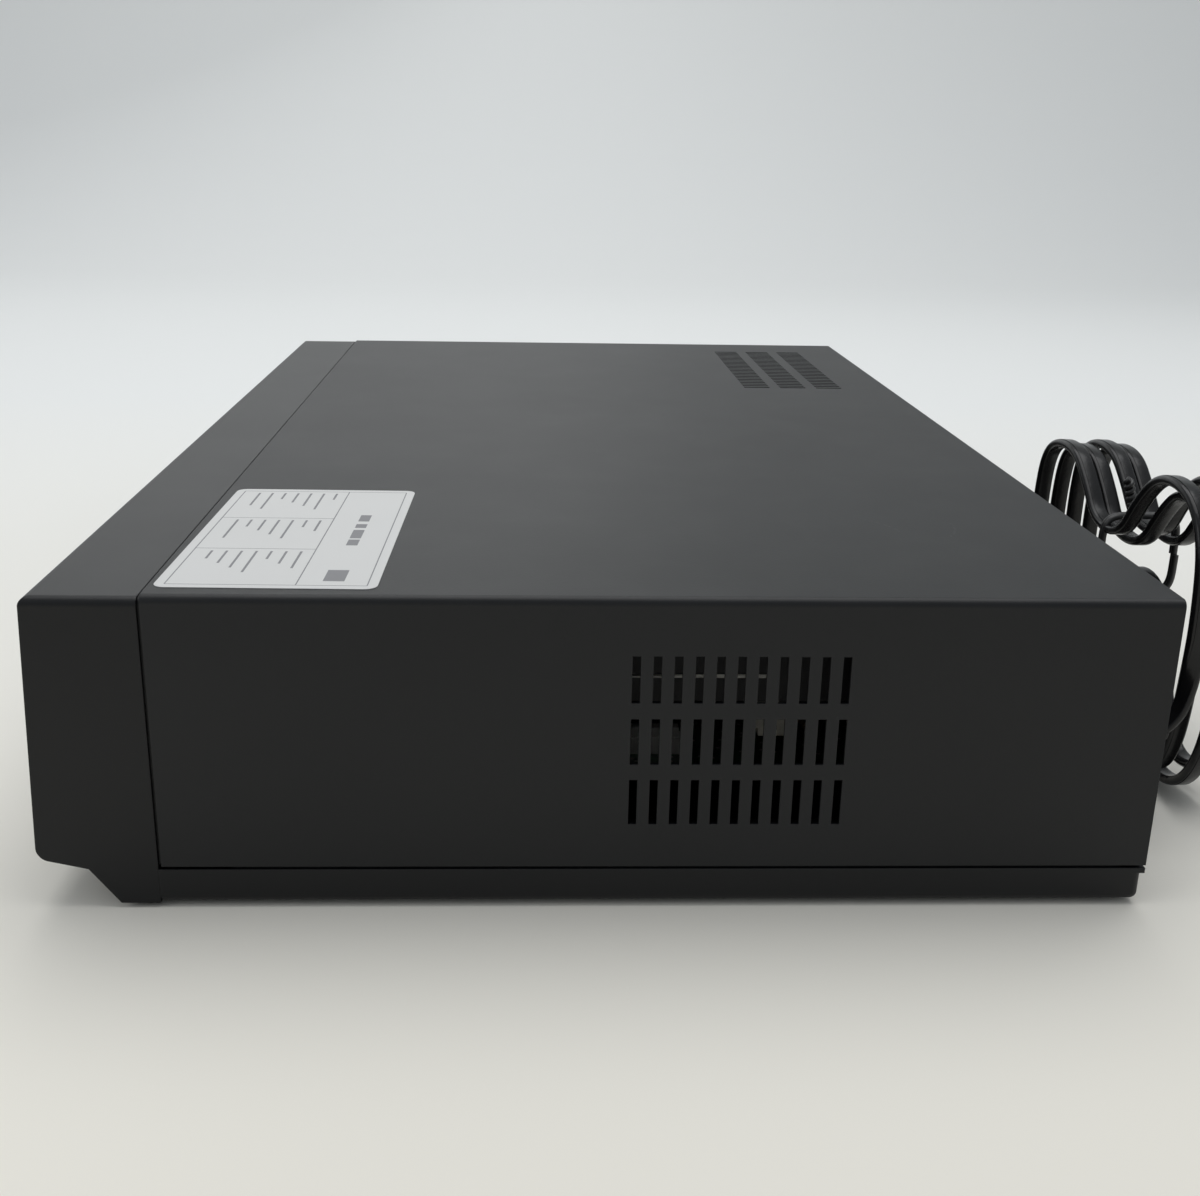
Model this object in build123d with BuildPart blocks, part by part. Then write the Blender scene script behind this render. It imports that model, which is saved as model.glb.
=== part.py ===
from build123d import *
import math
import os

# A disc and tape combination player. X runs across the case, -Y is the front and +Z is up.
# The origin is on the floor, under the middle of the case. Every size is in millimetres.

# Case
case_width = 430.0
cover_top = 81.7
front_top = 81.1
case_depth = 274.3
front_depth = 27.0
front_lean = 2.5
chin_height = 13.6
toe_height = 10.8
toe_back = 10.0
heel_back = 17.3
foot_height = 1.4
front_wall = 2.5
front_edge = 2.2
chin_edge = 3.6
sheet = 1.0
cover_bend = 2.0
cover_foot = 11.4
seam = 0.8
collar_wall = 2.0
collar_reach = 6.0
base_wall = 2.5
base_floor = 2.0
base_short = 0.6
ledge_height = 1.4
socket_proud = 6.0
lip_height = 10.0
running = 0.05
slack = 0.4
touch = 0.1
over = 1.0
full_turn = 360.0
base_round = 2.0
lip_inset = 12.0
lip_screw_side = 20.0
lip_screw_middle = 10.0
low_screw_side = 12.0
low_screw_left = -48.0
low_screw_right = 55.0
low_screw_rise = 8.0
boss_size = 9.0
post_radius = 4.0
deck_post_side = 8.0
deck_post_end = 10.0
loader_post_side = 6.0
loader_post_end = 8.0
main_post_side = 8.0
main_post_end = 6.0
ear_half = 3.4
ear_wall = 1.6

# Vents
side_slot = 2.0
side_slot_height = 12.0
side_slot_pitch = 5.05
side_slots = 11
side_row_pitch = 16.1
side_rows = 3
side_vent_back = 169.0
side_vent_height = 45.1
top_slot = 2.0
top_slot_length = 11.2
top_slot_pitch = 4.2
top_slots = 26
top_row_pitch = 15.7
top_rows = 3
top_vent_x = -133.5
top_vent_back = 232.2
floor_slot = 3.0
floor_slot_length = 40.0
floor_slot_pitch = 8.0
floor_slots = 12
floor_slot_back = 120.0

# Label, screws and feet
label_width = 97.0
label_depth = 53.0
label_thick = 0.15
label_corner = 3.0
label_turn = -1.0
label_x = 160.5
label_back = 56.4
screw_shank = 1.45
screw_hole = 1.5
screw_head = 3.0
screw_head_thick = 1.8
screw_length = 8.0
screw_socket = 1.0
foot_radius = 10.0
foot_x = 180.0
foot_front = 48.0
foot_back = 235.0

# Parts on the main board
main_chip_x = 62.0
main_chip_back = 96.0
main_chip_size = 28.0
main_chip_height = 2.6
driver_chip_x = 112.0
driver_chip_back = 122.0
driver_chip_size = 20.0
driver_chip_height = 2.4
memory_chip_x = 140.0
memory_chip_back = 78.0
memory_chip_width = 18.0
memory_chip_depth = 10.0
memory_chip_height = 2.0
socket_strip_thick = 6.0
socket_strip_height = 8.0
side_strip_x = 150.0
side_strip_back = 150.0
side_strip_length = 26.0
left_strip_x = 36.0
left_strip_back = 180.0
left_strip_length = 22.0
rear_strip_x = 96.0
rear_strip_back = 190.0
rear_strip_length = 30.0
can_row_x = 84.0
can_row_back = 154.0
can_row_pitch = 14.0
cans_in_row = 4
rear_can_x = -170.0
rear_can_back = 242.0
rear_can_pitch = 18.0
rear_cans = 2
filter_can_x = 166.0
filter_can_pitch = 22.0
filter_cans = 2

# Small features of the mechanisms
guide_spread = 30.0
guides_a_side = 2
head_slot_deep = 3.0
head_slot_wide = 4.0
head_slot_tall = 2.0
drum_edge = 1.0
clip_part = 0.6
clip_half = 5.0
tooth_tip_part = 0.9
tooth_root_part = 1.15
rack_flank = 0.7
gear_tip_flank = 0.8
gear_root_flank = 0.4
rack_lead = 1.5
rack_extra_teeth = 4
traverse_pin_length = 4.0
traverse_pin_out = 1.5
lens_mount = 8.0
sled_inset = 4.0
bush_nose_part = 2.5
lead_run = 10.0
lead_turn = 5.0
tail_bends = 3
bend_part = 0.45
tiny = 1e-6
samples_taken = 900

# Cassette door
door_side = 20.0
door_width = 196.0
door_height = 28.0
door_z = 60.0
door_thick = 2.2
door_pin = 1.5
door_pin_length = 3.0
door_pin_back = 3.6
door_pin_drop = 2.6
door_knuckle = 2.4

# Disc side of the front
disc_side = 26.0
tray_front_width = 142.0
tray_front_height = 13.0
tray_front_thick = 3.0
tray_front_z = 66.0
window_height = 18.0
window_z = 46.0
window_thick = 2.0
window_flange = 1.5
module_depth = 8.0
module_thick = 6.0
module_margin = 8.0

# Buttons
button_proud = 0.8
button_travel = 1.0
button_flange = 1.2
button_lip = 1.3
button_stem = 2.0
button_corner = 1.0
switch_size = 6.0
switch_thick = 4.3
key_width = 15.0
key_height = 6.0
tape_key_start = 83.0
tape_key_pitch = 20.0
disc_key_start = 11.0
disc_key_pitch = 20.0
key_z = 29.0
power_side = 31.0
power_width = 18.0
power_height = 9.0
source_z = 46.0
source_width = 13.0
rocker_side = 67.0
rocker_width = 10.0
rocker_height = 17.0
rocker_pin = 1.5
rocker_pin_back = 6.5
rocker_pin_length = 2.5
rocker_thick = 4.5
rocker_hub = 1.2

# Front sockets and board
front_socket_side = 65.0
front_socket_pitch = 16.0
front_socket_z = 29.0
sockets_in_front = 3
pocket_radius = 6.0
pocket_depth = 7.5
socket_radius = 4.15
socket_bore = 1.6
socket_length = 7.0
socket_body = 12.0
board_thick = 1.6
front_board_back = 18.0
front_board_low = 17.0
front_board_high = 42.0
front_board_step = 55.0
front_board_side = 17.0
front_board_step_x = 12.0
board_post = 2.5

# Tape deck
deck_back = 40.0
deck_depth = 175.0
deck_width = 200.0
deck_z = 20.0
deck_sheet = 1.2
deck_flange = 8.0
holder_width = 192.0
holder_depth = 80.0
holder_low = 46.0
holder_height = 29.0
holder_back = 34.0
holder_travel = 30.0
holder_flange = 12.0
holder_pin = 1.5
holder_pin_z = 60.0
bracket_gap = 2.5
bracket_top = 77.6
bracket_length = 112.0
bridge_length = 14.0
drum_radius = 31.0
drum_back = 181.0
lower_drum_height = 16.0
upper_drum_height = 15.0
drum_gap = 0.4
drum_shaft = 3.0
reel_spacing = 90.0
reel_back = 92.0
reel_radius = 19.0
reel_disc = 4.0
reel_hub = 9.0
reel_spindle = 5.0
reel_height = 17.0
reel_pin = 2.0
reel_rib = 1.6
capstan_x = 52.0
capstan_back = 153.0
capstan_radius = 2.0
capstan_top = 45.0
flywheel_radius = 28.0
flywheel_thick = 6.0
flywheel_z = 9.6
sleeve_radius = 5.0
sleeve_top = 30.0
sleeve_drop = 3.0
stator_z = 5.0
stator_size = 68.0
coil_outer = 24.0
coil_inner = 9.0
coil_thick = 2.2
stator_post = 2.5
roller_radius = 6.5
roller_gap = 0.5
roller_height = 9.0
roller_pin = 1.5
arm_reach = 24.0
arm_swing = 25.0
arm_z = 30.6
arm_thick = 2.4
arm_width = 10.0
guide_radius = 2.5
guide_height = 24.0
guide_ring = 39.0

# Disc loader
loader_margin = 2.0
loader_back = 32.0
loader_depth = 185.0
loader_z = 46.0
loader_floor = 2.0
loader_wall = 2.5
loader_top = 76.0
tray_margin = 5.0
tray_back = 6.0
tray_length = 182.0
tray_z = 60.2
tray_height = 10.0
tray_deck = 64.2
tray_travel = 135.0
tray_gap = 0.2
guide_ledge = 7.5
ledge_thick = 2.0
disc_back = 88.0
disc_recess = 61.0
disc_floor = 66.2
small_disc_recess = 41.0
small_disc_step = 0.8
tray_slot = 42.0
tray_skirt = 2.5
tray_nose = 20.0
gear_module = 1.0
gear_teeth = 16
gear_back = 46.0
gear_face = 3.2
gear_offset = 48.0
tooth_part = 0.40
wheel_radius = 13.0
wheel_thick = 3.0
wheel_z = 50.0
gear_pin = 1.5
motor_radius = 11.0
motor_height = 15.0
motor_pulley = 4.0
motor_shaft = 1.0
motor_offset = 20.0
traverse_width = 60.0
traverse_back = 72.0
traverse_length = 106.0
traverse_z = 52.0
traverse_thick = 3.0
traverse_pin = 1.5
traverse_pin_back = 170.0
spindle_radius = 12.0
spindle_height = 7.0
table_radius = 14.0
table_z = 65.0
table_thick = 2.0
hub_radius = 7.4
hub_height = 2.0
shaft_radius = 1.0
rail_spacing = 48.0
rail_radius = 1.5
rail_z = 58.0
rail_start = 100.0
rail_end = 165.0
sled_length = 22.0
sled_low = 55.6
sled_high = 59.6
sled_start = 104.0
lens_radius = 6.0
lens_top = 63.6
bridge_width = 22.0
bridge_thick = 1.6
clamper_radius = 13.0
clamper_z = 69.4
clamper_thick = 3.0
clamper_neck = 5.0
clamper_head = 8.0

# Boards and power supply
board_z = 12.0
main_board_left = 15.0
main_board_right = 165.0
main_board_front = 36.0
main_board_back = 216.0
strip_front = 226.0
strip_back = 262.0
strip_left = -200.0
strip_right = 50.0
power_board_left = 60.0
power_board_right = 205.0
transformer_x = 92.0
transformer_width = 36.0
transformer_depth = 30.0
transformer_height = 28.0
coil_bobbin = 20.0
sink_x = 134.0
sink_width = 40.0
sink_height = 36.0
sink_depth = 16.0
sink_fin = 1.6
sink_fins = 6
power_mid = 244.0
can_small = 5.0
can_large = 11.0
can_height = 30.0

# Rear sockets and tuner
rear_socket_x = -130.0
rear_socket_pitch = 14.0
rear_socket_columns = 6
rear_socket_low = 26.0
rear_socket_rise = 16.0
tuner_x = -20.0
tuner_width = 46.0
tuner_depth = 36.0
tuner_height = 40.0
aerial_radius = 4.7
aerial_bore = 1.5
aerial_spacing = 22.0
aerial_z = 34.0

# Mains lead
lead_width = 5.6
bush_x = 166.0
bush_z = 22.7
bush_hole = 6.2
bush_flange = 7.5
bush_flange_thick = 2.0
bush_head = 7.0
bush_nose = 4.6
hank_x = 100.0
hank_z = 60.0
hank_reach = 66.0
hank_waist = 10.0
hank_lobe = 42.0
hank_rise = 33.0
hank_rise_left = 28.0
hank_fall = 56.5
hank_tip_drop = 8.0
hank_step = 6.6
hank_layer = 6.4
hank_behind = 28.7
hank_layers = 4
tie_wall = 1.2
tie_width = 4.0
tie_gap = 0.2
plug_length = 32.0
plug_width = 24.0
plug_thick = 14.0
plug_neck = 10.0
plug_neck_radius = 4.5
plug_z = 7.2
blade_length = 17.0
blade_width = 6.35
blade_thick = 1.5
blade_spacing = 12.7

# Worked out from the sizes above
front_y = -(case_depth + socket_proud - front_lean) / 2
rear_y = front_y + case_depth
seam_y = front_y + front_depth
cover_front = seam_y + seam
side_x = case_width / 2
door_x = -side_x + door_side + door_width / 2
disc_x = side_x - disc_side - tray_front_width / 2
door_right = door_x + door_width / 2
tray_left = disc_x - tray_front_width / 2
tape_key_x = door_x - door_width / 2 + tape_key_start
disc_key_x = tray_left + disc_key_start
power_x = power_side - side_x
rocker_x = rocker_side - side_x
source_x = (door_right + tray_left) / 2
front_socket_x = side_x - front_socket_side
front_board_end = side_x - front_board_side
tray_width = tray_front_width - 2 * tray_margin
loader_width = tray_front_width + 2 * loader_margin
rim_top = cover_foot - seam
floor_top = foot_height + base_floor
cover_under = cover_top - sheet
rear_rim = rear_y - base_short
panel_face = rear_y - sheet
lean = math.atan2(front_lean, front_top - chin_height)
out_of_front = Vector(0, -math.cos(lean), math.sin(lean))
up_front = Vector(0, math.sin(lean), math.cos(lean))
deck_front = front_y + deck_back
deck_rear = deck_front + deck_depth
deck_top = deck_z + deck_sheet
holder_front = front_y + holder_back
holder_top = holder_low + holder_height
drum_y = front_y + drum_back
reel_y = front_y + reel_back
capstan_y = front_y + capstan_back
loader_front = front_y + loader_back
loader_rear = loader_front + loader_depth
loader_deck = loader_z + loader_floor
disc_y = front_y + disc_back
tray_y = front_y + tray_back
tray_top = tray_z + tray_height
gear_y = front_y + gear_back
gear_x = disc_x - gear_offset
gear_pitch_radius = gear_module * gear_teeth / 2
traverse_y = front_y + traverse_back
board_top = board_z + board_thick


def from_front(back):
    """The Y of something that lies this far behind the top edge of the front."""
    return front_y + back


def on_front(x, z, depth=0.0):
    """A plane on the leaning front face at x and z, or this deep behind it, looking out."""
    face_y = front_y - (front_top - z) * math.tan(lean)
    origin = Vector(x, face_y, z) - out_of_front * depth
    return Plane(origin=origin, x_dir=(1, 0, 0), z_dir=out_of_front)


def facing_back(y, x=0.0, z=0.0):
    """A plane at this Y that looks to the rear, with +Z up in the sketch."""
    return Plane(origin=(x, y, z), x_dir=(-1, 0, 0), z_dir=(0, 1, 0))


def across(x, y=0.0, z=0.0):
    """A plane at this X that looks to +X, with +Y to the right and +Z up in the sketch."""
    return Plane(origin=(x, y, z), x_dir=(0, 1, 0), z_dir=(1, 0, 0))


def solid_box(low_x, high_x, low_y, high_y, low_z, high_z, mode=Mode.ADD):
    """A box between two corners, added to or cut from the part being built."""
    middle = ((low_x + high_x) / 2, (low_y + high_y) / 2, (low_z + high_z) / 2)
    with Locations(middle):
        Box(abs(high_x - low_x), high_y - low_y, high_z - low_z, mode=mode)


def post(x, y, low_z, high_z, radius, mode=Mode.ADD):
    """An upright cylinder between two heights, added to or cut from the part being built."""
    with Locations((x, y, (low_z + high_z) / 2)):
        Cylinder(radius, high_z - low_z, mode=mode)


# Where the buttons sit
tape_keys = ["rewind_button", "play_button", "forward_button", "stop_button", "record_button"]
disc_keys = ["open_button", "disc_play_button", "disc_stop_button"]
buttons = {
    "power_button": (power_x, key_z, power_width, power_height),
    "source_button": (source_x, source_z, source_width, source_width),
}
for place, key in enumerate(tape_keys):
    buttons[key] = (tape_key_x + place * tape_key_pitch, key_z, key_width, key_height)
for place, key in enumerate(disc_keys):
    buttons[key] = (disc_key_x + place * disc_key_pitch, key_z, key_width, key_height)
front_sockets = [front_socket_x + place * front_socket_pitch for place in range(sockets_in_front)]
board_post_low = front_board_low + board_post + over
board_post_high = front_board_step - 2 * board_post
board_post_end = front_board_end - 2 * board_post
board_posts = [
    (-board_post_end, board_post_low), (door_x, board_post_low), (tray_left, board_post_low),
    (board_post_end, board_post_low), (board_post_end, board_post_high),
]

# Screws at the rear: three through the cover's lip and four low on the rear panel
lip_screw_z = cover_top - lip_height / 2
low_screw_z = rim_top + low_screw_rise
lip_screws = [lip_screw_side - side_x, lip_screw_middle, side_x - lip_screw_side]
low_screws = [low_screw_side - side_x, low_screw_left, low_screw_right, side_x - low_screw_side]


def corner_posts(left, right, front, rear, side_inset, end_inset):
    """The four posts under a plate, drawn in from its corners."""
    columns = (left + side_inset, right - side_inset)
    rows = (front + end_inset, rear - end_inset)
    return [(x, y) for x in columns for y in rows]


def board_corners(left, right, front_back, rear_back):
    """The four posts under a board whose ends are given as distances behind the front."""
    return corner_posts(
        left, right, from_front(front_back), from_front(rear_back), main_post_side, main_post_end
    )


# Posts that stand on the base floor
deck_posts = corner_posts(
    door_x - deck_width / 2, door_x + deck_width / 2, deck_front, deck_rear, deck_post_side, deck_post_end
)
loader_posts = corner_posts(
    disc_x - loader_width / 2, disc_x + loader_width / 2, loader_front, loader_rear,
    loader_post_side, loader_post_end,
)
board_posts_low = board_corners(main_board_left, main_board_right, main_board_front, main_board_back)
board_posts_low += board_corners(strip_left, strip_right, strip_front, strip_back)
board_posts_low += board_corners(power_board_left, power_board_right, strip_front, strip_back)

# Base frame
with BuildPart() as base_frame:
    solid_box(-side_x, side_x, seam_y, rear_rim, foot_height, rim_top)
    fillet(base_frame.faces().sort_by(Axis.Z)[0].edges().filter_by(Axis.Y), base_round)
    fillet(base_frame.faces().sort_by(Axis.Z)[0].edges().sort_by(Axis.Y)[-1], base_round)
    inside = side_x - base_wall
    solid_box(-inside, inside, seam_y + base_wall, rear_rim - base_wall, floor_top, cover_top, Mode.SUBTRACT)
    for side in (-1, 1):
        stand = side * (side_x - sheet - touch - collar_wall / 2)
        with Locations((stand, (seam_y + rear_rim) / 2 + collar_reach, (floor_top + cover_foot * 2) / 2)):
            Box(collar_wall, rear_rim - seam_y - 4 * collar_reach, cover_foot * 2 - floor_top)
    solid_box(-side_x, side_x, rear_rim - base_wall, rear_y, rim_top - ledge_height, rim_top)
    for x, y in deck_posts:
        post(x, y, foot_height, deck_z, post_radius)
    for x, y in loader_posts:
        post(x, y, foot_height, loader_z, post_radius)
    for x, y in board_posts_low:
        post(x, y, foot_height, board_z, post_radius)
    for x in low_screws:
        solid_box(
            x - boss_size / 2, x + boss_size / 2, panel_face - sheet - boss_size, panel_face - sheet,
            foot_height, low_screw_z + boss_size / 2,
        )
        with Locations(facing_back(panel_face, x, low_screw_z)):
            Hole(screw_hole, screw_length + touch)
    for x in (door_x, disc_x):
        with BuildSketch(Plane.XY):
            with Locations((x, from_front(floor_slot_back))):
                with GridLocations(floor_slot_pitch, 1, floor_slots, 1):
                    SlotOverall(floor_slot_length, floor_slot, rotation=90)
        extrude(amount=floor_top, mode=Mode.SUBTRACT)

# Top cover
with BuildPart() as top_cover:
    with BuildSketch(facing_back(rear_y)) as wrap:
        with Locations((0, (cover_top + cover_foot) / 2)):
            Rectangle(case_width, cover_top - cover_foot)
        fillet(wrap.vertices().group_by(Axis.Y)[-1], cover_bend)
    extrude(amount=cover_front - rear_y)
    with BuildSketch(facing_back(rear_y)) as hollow:
        with Locations((0, (cover_under + cover_foot) / 2)):
            Rectangle(case_width - 2 * sheet, cover_under - cover_foot)
        fillet(hollow.vertices().group_by(Axis.Y)[-1], cover_bend - sheet)
    extrude(amount=cover_front - rear_y, mode=Mode.SUBTRACT)
    lip_end = side_x - lip_inset
    solid_box(-lip_end, lip_end, rear_y - sheet, rear_y, cover_top - lip_height, cover_under)
    with BuildSketch(across(0)):
        with Locations((from_front(side_vent_back), side_vent_height)):
            with GridLocations(side_slot_pitch, side_row_pitch, side_slots, side_rows):
                Rectangle(side_slot, side_slot_height)
    extrude(amount=case_width, both=True, mode=Mode.SUBTRACT)
    with BuildSketch(Plane.XY):
        with Locations((top_vent_x, from_front(top_vent_back))):
            with GridLocations(top_slot_pitch, top_row_pitch, top_slots, top_rows):
                Rectangle(top_slot, top_slot_length)
    extrude(amount=cover_top, mode=Mode.SUBTRACT)
    for x in lip_screws:
        with Locations(facing_back(rear_y, x, lip_screw_z)):
            Hole(screw_hole, 2 * sheet)

# Front panel, a hollow moulding that is open behind, with a collar that goes under the cover
ear_thick = door_pin_length + slack
ear_depth = door_pin_back + door_pin + ear_wall
door_pin_z = door_z + door_height / 2 - door_pin_drop
rocker_ear_depth = rocker_pin_back + rocker_pin + ear_wall


def face_hole(x, z, wide, tall, gap):
    """Cut a rectangular hole through the front wall, this much larger than what fills it."""
    with BuildSketch(on_front(x, z)) as hole:
        Rectangle(wide + 2 * gap, tall + 2 * gap)
    extrude(hole.sketch, amount=2 * front_wall, both=True, mode=Mode.SUBTRACT)


def pin_ears(x, z, half_span, thick, pin_back, pin, depth):
    """Two ears behind the front wall that hold a pin along X, outside a hole's two ends."""
    for side in (-1, 1):
        ear_x = x + side * (half_span + thick / 2)
        with BuildSketch(on_front(ear_x, z, front_wall - touch)) as ear:
            Rectangle(thick, 2 * ear_half)
        extrude(ear.sketch, amount=front_wall - touch - depth)
        bore = on_front(ear_x, z, pin_back).origin
        with Locations(bore):
            Cylinder(pin + running, thick, rotation=(0, 90, 0), mode=Mode.SUBTRACT)


with BuildPart() as front_panel:
    with BuildSketch(across(0)):
        with BuildLine():
            Polyline(
                (front_y, front_top), (seam_y, front_top), (seam_y, foot_height),
                (from_front(heel_back), foot_height), (from_front(toe_back), toe_height),
                (front_y - front_lean, chin_height), close=True,
            )
        make_face()
    extrude(amount=side_x, both=True)
    chin = front_panel.edges().sort_by_distance((0, front_y - front_lean, chin_height))[0]
    fillet(chin, chin_edge)
    top_edges = front_panel.faces().sort_by(Axis.Z)[-1].edges().sort_by(Axis.Y)[:-1]
    fillet(top_edges, front_edge)
    inner_top = on_front(0, front_top - front_wall, front_wall).origin
    inner_chin = on_front(0, chin_height + front_wall, front_wall).origin
    with BuildSketch(across(0)):
        with BuildLine():
            Polyline(
                (inner_top.Y, inner_top.Z), (seam_y, inner_top.Z), (seam_y, foot_height + front_wall),
                (from_front(heel_back) + front_wall, foot_height + front_wall),
                (from_front(toe_back), toe_height + front_wall), (inner_chin.Y, inner_chin.Z), close=True,
            )
        make_face()
    extrude(amount=side_x - front_wall, both=True, mode=Mode.SUBTRACT)
    collar_x = side_x - sheet - touch
    collar_z = cover_under
    solid_box(
        -collar_x, collar_x, seam_y - collar_reach, seam_y + collar_reach, collar_z - collar_wall, collar_z,
    )
    for side in (-1, 1):
        solid_box(
            side * collar_x, side * (collar_x - collar_wall), seam_y - collar_reach, seam_y + collar_reach,
            cover_foot, collar_z,
        )
    for side in (-1, 1):
        corner = (side * collar_x, seam_y + collar_reach / 2, collar_z)
        fillet(front_panel.edges().sort_by_distance(corner)[0], cover_bend - touch)
    face_hole(door_x, door_z, door_width, door_height, slack)
    face_hole(disc_x, tray_front_z, tray_front_width, tray_front_height, slack)
    face_hole(disc_x, window_z, tray_front_width, window_height, touch)
    face_hole(rocker_x, key_z, rocker_width, rocker_height, 2 * slack)
    for x, z, wide, tall in buttons.values():
        face_hole(x, z, wide, tall, slack)
    for x in front_sockets:
        with BuildSketch(on_front(x, front_socket_z)):
            Circle(pocket_radius)
        extrude(amount=2 * front_wall, both=True, mode=Mode.SUBTRACT)
    pin_ears(door_x, door_pin_z, door_width / 2 + slack, ear_thick, door_pin_back, door_pin, ear_depth)
    pin_ears(
        rocker_x, key_z, rocker_width / 2 + 2 * slack, rocker_pin_length, rocker_pin_back, rocker_pin,
        rocker_ear_depth,
    )
    for x, z in board_posts:
        with BuildSketch(on_front(x, z, front_wall - touch)):
            Circle(board_post)
        extrude(amount=front_wall - touch - front_board_back)

# Cassette door, hung on two short pins near its top edge
with BuildPart() as cassette_door:
    with BuildSketch(on_front(door_x, door_z)):
        RectangleRounded(door_width, door_height, button_corner)
    extrude(amount=-door_thick)
    for side in (-1, 1):
        hinge = on_front(door_x, door_pin_z, door_pin_back).origin
        end = door_width / 2
        with Locations(hinge + Vector(side * (end - door_knuckle), 0, 0)):
            Cylinder(door_knuckle, 2 * door_knuckle, rotation=(0, 90, 0))
        with Locations(hinge + Vector(side * (end + door_pin_length / 2), 0, 0)):
            Cylinder(door_pin, door_pin_length, rotation=(0, 90, 0))

# Smoked window and the display behind it
with BuildPart() as display_window:
    with BuildSketch(on_front(disc_x, window_z)):
        Rectangle(tray_front_width, window_height)
    extrude(amount=-(front_wall + window_thick / 2))
    with BuildSketch(on_front(disc_x, window_z, front_wall)):
        Rectangle(tray_front_width + 2 * window_flange, window_height + 2 * window_flange)
    extrude(amount=-window_thick / 2)

with BuildPart() as display_module:
    with BuildSketch(on_front(disc_x, window_z, module_depth)):
        Rectangle(tray_front_width - 2 * module_margin, window_height - window_thick)
    extrude(amount=-module_thick)
    with BuildSketch(on_front(disc_x, window_z, module_depth + module_thick)):
        Rectangle(tray_front_width - 4 * module_margin, module_margin)
    extrude(amount=module_depth + module_thick - front_board_back)

# Front board with a switch behind each button
with BuildPart() as front_board:
    with BuildSketch(on_front(0, front_board_low, front_board_back)):
        with BuildLine():
            Polyline(
                (-front_board_end, 0), (front_board_end, 0),
                (front_board_end, front_board_step - front_board_low),
                (front_board_step_x, front_board_step - front_board_low),
                (front_board_step_x, front_board_high - front_board_low),
                (-front_board_end, front_board_high - front_board_low), close=True,
            )
        make_face()
    extrude(amount=-board_thick)
    switch_places = [(x, z) for x, z, wide, tall in buttons.values()]
    switch_places += [(rocker_x, key_z + side * rocker_height / 3) for side in (-1, 1)]
    for x, z in switch_places:
        with BuildSketch(on_front(x, z, front_board_back)):
            Rectangle(switch_size, switch_size)
        extrude(amount=switch_thick)

# Three sockets in pockets low on the front
with BuildPart() as front_jacks:
    for x in front_sockets:
        with BuildSketch(on_front(x, front_socket_z, pocket_depth)):
            Rectangle(socket_body, socket_body)
        extrude(amount=pocket_depth - front_board_back)
        with BuildSketch(on_front(x, front_socket_z, pocket_depth)):
            Circle(socket_radius)
        extrude(amount=socket_length)
        with BuildSketch(on_front(x, front_socket_z, pocket_depth)):
            Circle(socket_bore)
        extrude(amount=socket_length, both=True, mode=Mode.SUBTRACT)


def build_button(x, z, wide, tall):
    """A push button with a retaining flange behind the wall and a stem to its switch."""
    stem_end = front_board_back - switch_thick - button_travel - slack
    with BuildPart() as button:
        with BuildSketch(on_front(x, z, front_wall + touch)):
            RectangleRounded(wide, tall, button_corner)
        extrude(amount=front_wall + touch + button_proud)
        fillet(button.faces().sort_by(Axis.Y)[0].edges(), slack)
        with BuildSketch(on_front(x, z, front_wall + touch)):
            RectangleRounded(wide + 2 * button_lip, tall + 2 * button_lip, button_corner)
        extrude(amount=-button_flange)
        with BuildSketch(on_front(x, z, front_wall + touch)):
            Circle(button_stem)
        extrude(amount=front_wall + touch - stem_end)
    return button


button_parts = {name: build_button(*place) for name, place in buttons.items()}

# Channel rocker, which tips up or down on a cross pin
with BuildPart() as channel_rocker:
    with BuildSketch(on_front(rocker_x, key_z, rocker_thick)):
        RectangleRounded(rocker_width, rocker_height, button_corner)
    extrude(amount=rocker_thick + button_proud)
    pivot = on_front(rocker_x, key_z, rocker_pin_back).origin
    with Locations(pivot):
        Cylinder(rocker_pin + rocker_hub, rocker_width, rotation=(0, 90, 0))
        Cylinder(rocker_pin, rocker_width + 2 * rocker_pin_length, rotation=(0, 90, 0))
    for side in (-1, 1):
        with BuildSketch(on_front(rocker_x, key_z + side * rocker_height / 3, rocker_thick)):
            Circle(button_stem)
        extrude(amount=rocker_thick + switch_thick + 2 * slack - front_board_back)

# Paper label on the cover
with BuildPart() as paper_label:
    with BuildSketch(Plane(origin=(label_x, from_front(label_back), cover_top), z_dir=(0, 0, 1))):
        with Locations(Location((0, 0), label_turn)):
            RectangleRounded(label_width, label_depth, label_corner)
    extrude(amount=label_thick)

# Rear panel, which stands on the rear rim of the base
socket_columns = [rear_socket_x + place * rear_socket_pitch for place in range(rear_socket_columns)]
rear_sockets = [(x, rear_socket_low + row * rear_socket_rise) for x in socket_columns for row in (0, 1)]
aerials = [tuner_x - aerial_spacing / 2, tuner_x + aerial_spacing / 2]
panel_back = panel_face - sheet

with BuildPart() as rear_panel:
    panel_x = side_x - sheet - touch
    solid_box(-panel_x, panel_x, panel_back, panel_face, rim_top, cover_under - touch)
    fillet(rear_panel.faces().sort_by(Axis.Z)[-1].edges().filter_by(Axis.Y), cover_bend - sheet)
    for x, z in rear_sockets:
        with Locations(facing_back(panel_face, x, z)):
            Hole(socket_radius + slack)
    for x in aerials:
        with Locations(facing_back(panel_face, x, aerial_z)):
            Hole(aerial_radius + slack)
    with Locations(facing_back(panel_face, bush_x, bush_z)):
        Hole(bush_hole)
    for x in lip_screws:
        with Locations(facing_back(panel_face, x, lip_screw_z)):
            Hole(screw_hole)
    for x in low_screws:
        with Locations(facing_back(panel_face, x, low_screw_z)):
            Hole(screw_hole)

with BuildPart() as feet:
    for side in (-1, 1):
        for back in (foot_front, foot_back):
            post(side * foot_x, from_front(back), 0, foot_height, foot_radius)

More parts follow.
